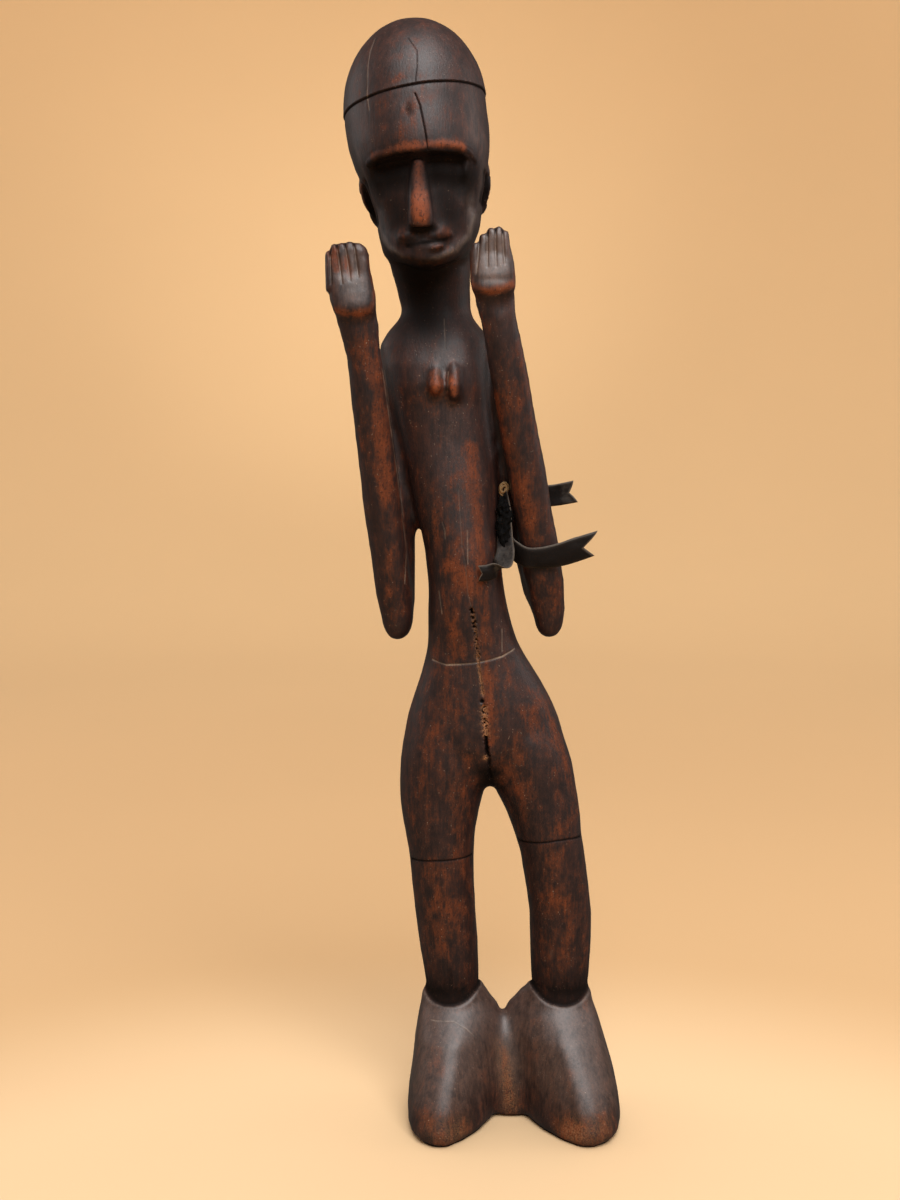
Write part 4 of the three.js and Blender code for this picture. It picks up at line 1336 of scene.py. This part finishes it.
def hide_strip(work, knots, sizes, notches, slants, pale, along_steps):
    """Adds a strip of dried hide through its knots, with wavy edges.

    Notches and slants say how many millimetres each end is cut in, at its middle and at its lower edge.
    The strip is worn pale in the stretch pale, as two shares of its run.
    """
    places = [Vector(place) for place, _, _ in knots]
    widths = [Vector(width).normalized() for _, width, _ in knots]
    halves = [half for _, _, half in knots]
    run = sum((after - before).length for before, after in zip(places, places[1:]))
    edge_layer = work.verts.layers.float["edge"]
    fold_layer = work.verts.layers.float["fold"]
    upper = [(1, 2 * j / ACROSS_STEPS - 1) for j in range(ACROSS_STEPS + 1)]
    under = [(-1, 1 - 2 * j / ACROSS_STEPS) for j in range(1, ACROSS_STEPS)]
    rings = []
    for k in range(along_steps + 1):
        cut_edge = 0.8 if k in (0, along_steps) else 0.0
        ring = []
        for side, v in upper + under:
            tail = 1 - abs(v)
            lower = 0.5 - 0.5 * v
            start = (notches[0] * tail + slants[0] * lower) / run
            end = 1 - (notches[1] * tail + slants[1] * lower) / run
            u = start + (end - start) * k / along_steps
            middle, across, normal = strip_place(places, widths, u)
            wave = sizes.wave / MM * noise.noise(middle * 0.12 + across * v * 1.5) * (0.4 + abs(v))
            thick = 0.5 * sizes.thickness / MM * math.sqrt(max(0.0, 1 - abs(v) ** 6))
            out = wave + STRIP_CURL * (v * v - 0.3) + side * thick
            place = middle + across * (v * through(halves, u)) + normal * out
            vertex = work.verts.new(place * MM)
            # The upper edge is paler and greyer than the lower: a painted highlight on top of the pale cut
            # edge and folds
            vertex[edge_layer] = max(abs(v) ** 14 * (0.65 + 0.35 * v), cut_edge)
            vertex[fold_layer] = max(0.4 * bell(1 - v, 0.25), 0.5 * float(window(*pale, u, 0.05)))
            ring.append(vertex)
        rings.append(ring)
    join_rings(work, rings)
    close_strip(work, rings[0], True)
    close_strip(work, rings[-1], False)


def added_corners(work, stations, **form):
    """Adds a whittled form and gives its corners alone."""
    before = set(work.verts)
    whittled(work, stations, **form)
    return [vertex for vertex in work.verts if vertex not in before]


def wind_cord(work, middle, radius, half, turns):
    """Adds a twisted cord wound in rings that draw in and come forward."""
    x, y, z = middle
    path = []
    steps = 12 * turns
    for step in range(steps + 1):
        turn = math.tau * step / 12
        wobble = (1 + 0.15 * math.sin(1.7 * turn)) * (1 - 0.6 * step / steps)
        aside = x + radius * wobble * math.cos(turn)
        depth = y - 1.6 * half * step / steps + 0.4 * math.sin(2.3 * turn)
        level = z + 1.35 * radius * wobble * math.sin(turn)
        path.append((aside, depth, level, half, half))
    cord_layer = work.verts.layers.float["cord"]
    for vertex in added_corners(work, path, across=(0, 1, 0), sides=8, fine=2):
        vertex[cord_layer] = 0.75 + 0.25 * noise.noise(vertex.co / MM * 1.3)


def crumple_knot(work):
    """Adds the dark knot, a form whose surface is pressed into creases, marked all over for dirt and
    painted shade.
    """
    middles = np.asarray(KNOT)[:, :3]
    soot_layer = work.verts.layers.float["soot"]
    for vertex in added_corners(work, KNOT, sides=32, fine=10):
        vertex[soot_layer] = 1.0
        place = np.array(vertex.co) / MM
        nearest = middles[np.abs(middles[:, 2] - place[2]).argmin()]
        out = (place - nearest) * np.array([1, 1, 0])
        out /= max(np.linalg.norm(out), 0.5)
        ridges = 1 - 2 * abs(noise.noise(Vector(place * np.array([0.3, 0.3, 0.16])) + Vector((3, 0, 0))))
        vertex.co += Vector(out * KNOT_CREASE * (ridges - 0.8)) * MM


def new_hide():
    """An empty mesh in the making, with the marks that the hide's finish reads."""
    work = bmesh.new()
    for name in ("edge", "fold", "cord", "soot"):
        work.verts.layers.float.new(name)
    return work


def finish_hide(work, name, node, colours):
    """Turns the mesh in the making into the piece that stands for the node."""
    bmesh.ops.recalc_face_normals(work, faces=work.faces)
    mesh = bpy.data.meshes.new(name)
    work.to_mesh(mesh)
    work.free()
    mesh.shade_smooth()
    mesh.materials.append(dried_hide(colours))
    piece = link(name, mesh)
    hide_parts(node)
    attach(piece, "root")


class CutArmStrap(bpy.types.Operator):
    """Cut the strip of hide that hooks round the arm."""

    bl_idname = "figure.cut_arm_strap"
    bl_label = "Cut arm strap"

    def execute(self, context):
        work = new_hide()
        cuts = {"notches": (7, 6), "slants": (6, 0)}
        hide_strip(work, ARM_STRAP, context.scene.hide_sizes, **cuts, pale=(0.96, 1.0), along_steps=120)
        finish_hide(work, "arm_strap_hide", "arm_strap", context.scene.hide_colours)
        return {"FINISHED"}


class TieTieStrap(bpy.types.Operator):
    """Tie the narrow strip of hide that is knotted in the gap beside the body."""

    bl_idname = "figure.tie_tie_strap"
    bl_label = "Tie tie strap"

    def execute(self, context):
        work = new_hide()
        cuts = {"notches": (0, 4.5), "slants": (0, 0)}
        hide_strip(work, TIE_STRAP, context.scene.hide_sizes, **cuts, pale=(0.5, 0.78), along_steps=80)
        crumple_knot(work)
        wind_cord(work, *COIL)
        finish_hide(work, "tie_strap_hide", "tie_strap", context.scene.hide_colours)
        return {"FINISHED"}


# The stage


# The floor in metres: where it starts to bend up, how wide the bend is, and the wall above it
FLAT_RADIUS, BEND_RADIUS, WALL_HEIGHT = 2.6, 2.4, 0.8

# Each lamp: its name, its power's property, in metres where it stands, what it faces and its width,
# then the spread of its light in degrees and whether the wood's sheen shows it
LAMPS = [
    ("key", "key_power", (0.6, -2.2, 3.3), (0, 0, 0.5), 2.5, 180, True),
    ("room", "room_power", (0, 1.6, 3.5), (0, 1.6, 0), 5.0, 180, False),
    ("side_left", "side_power", (-2.0, 0.6, 1.4), (0, 0, 0.8), 1.3, 180, True),
    ("side_right", "side_power", (2.0, 0.3, 1.4), (0, 0, 0.8), 1.3, 180, True),
    ("halo", "halo_power", (-0.1, 2.0, 1.0), (-0.4, 4.9, 1.5), 0.5, 60, False),
]

# Where the camera stands, in metres, and by how many degrees it looks down
CAMERA_PLACE = (-0.0233, -1.14095, 0.56)
CAMERA_DIP = 6.10455


def sweep_floor(looks):
    """A pale floor that sweeps up in one curve all round, so that no edge shows from any side."""
    profile = [(0.0, 0.0), (1.2, 0.0), (FLAT_RADIUS, 0.0)]
    for step in range(1, 13):
        turn = math.radians(90 * step / 12)
        profile.append((FLAT_RADIUS + BEND_RADIUS * math.sin(turn), BEND_RADIUS * (1 - math.cos(turn))))
    profile.append((FLAT_RADIUS + BEND_RADIUS, BEND_RADIUS + WALL_HEIGHT))
    work = bmesh.new()
    corners = [work.verts.new((radius, 0.0, height)) for radius, height in profile]
    edges = [work.edges.new(pair) for pair in zip(corners, corners[1:])]
    spin = {"cent": (0, 0, 0), "axis": (0, 0, 1), "angle": math.tau, "steps": 64, "use_merge": True}
    bmesh.ops.spin(work, geom=corners + edges, **spin)
    bmesh.ops.remove_doubles(work, verts=work.verts, dist=1e-5)
    bmesh.ops.recalc_face_normals(work, faces=work.faces)
    bmesh.ops.reverse_faces(work, faces=work.faces)
    mesh = bpy.data.meshes.new("floor")
    work.to_mesh(mesh)
    work.free()
    mesh.shade_smooth()
    mesh.materials.append(plain_floor(tuple(looks.floor), tuple(looks.around), tuple(looks.backdrop)))
    floor = link("floor", mesh)
    floor.visible_glossy = False


def hang_lamp(name, power, place, target, width, spread, shows):
    """A square lamp that faces the target, unseen by the camera."""
    lamp = bpy.data.lights.new(name, "AREA")
    lamp.shape = "SQUARE"
    lamp.size = width
    lamp.spread = math.radians(spread)
    lamp.energy = power
    holder = link(name, lamp)
    holder.location = place
    holder.rotation_euler = (Vector(target) - Vector(place)).to_track_quat("-Z", "Y").to_euler()
    holder.visible_camera = False
    holder.visible_glossy = shows


def light_all_round(tint, strength):
    """A faint light of this tint from every side."""
    world = bpy.data.worlds.new("studio")
    world.use_nodes = True
    background = world.node_tree.nodes["Background"]
    background.inputs["Color"].default_value = (*tint, 1.0)
    background.inputs["Strength"].default_value = strength
    bpy.context.scene.world = world


def place_camera(lens):
    """The camera in front of the figure."""
    camera = bpy.data.cameras.new("camera")
    camera.sensor_width = 36
    camera.lens = lens
    holder = link("camera", camera)
    holder.location = CAMERA_PLACE
    holder.rotation_euler = (math.radians(90 - CAMERA_DIP), 0, 0)
    bpy.context.scene.camera = holder


class SetStage(bpy.types.Operator):
    """Set up the pale floor, the soft lights and the camera."""

    bl_idname = "figure.set_stage"
    bl_label = "Set stage"

    def execute(self, context):
        looks = context.scene.stage_looks
        sweep_floor(looks)
        for name, power, *rest in LAMPS:
            hang_lamp(name, getattr(looks, power), *rest)
        light_all_round(looks.ambient_tint, looks.ambient)
        place_camera(looks.lens)
        context.scene.view_settings.view_transform = "Standard"
        return {"FINISHED"}


class FigurePanel(bpy.types.Panel):
    """Lists the steps and their sizes."""

    bl_idname = "VIEW3D_PT_figure"
    bl_label = "Carved figure"
    bl_space_type = "VIEW_3D"
    bl_region_type = "UI"
    bl_category = "Figure"

    def draw(self, context):
        scene = context.scene
        for step in STEPS:
            self.layout.operator(step.bl_idname)
        for group in GROUPS:
            box = self.layout.box()
            box.label(text=group)
            for name in getattr(scene, group).bl_rna.properties.keys():
                if name not in ("rna_type", "name"):
                    box.prop(getattr(scene, group), name)


STEPS = (CarveFigure, CutArmStrap, TieTieStrap, SetStage)
GROUPS = {
    "carving_sizes": CarvingSizes,
    "wood_colours": WoodColours,
    "hide_sizes": HideSizes,
    "hide_colours": HideColours,
    "stage_looks": StageLooks,
}


def register():
    """Registers the properties, the steps and the panel."""
    for group in GROUPS.values():
        bpy.utils.register_class(group)
    for name, group in GROUPS.items():
        setattr(bpy.types.Scene, name, PointerProperty(type=group))
    for step in STEPS:
        bpy.utils.register_class(step)
    bpy.utils.register_class(FigurePanel)


def unregister():
    """Takes them away again."""
    bpy.utils.unregister_class(FigurePanel)
    for step in reversed(STEPS):
        bpy.utils.unregister_class(step)
    for name in GROUPS:
        delattr(bpy.types.Scene, name)
    for group in reversed(GROUPS.values()):
        bpy.utils.unregister_class(group)


def main():
    """Registers the add-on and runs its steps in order."""
    register()
    bpy.ops.figure.carve()
    bpy.ops.figure.cut_arm_strap()
    bpy.ops.figure.tie_tie_strap()
    bpy.ops.figure.set_stage()


if __name__ == "__main__":
    main()
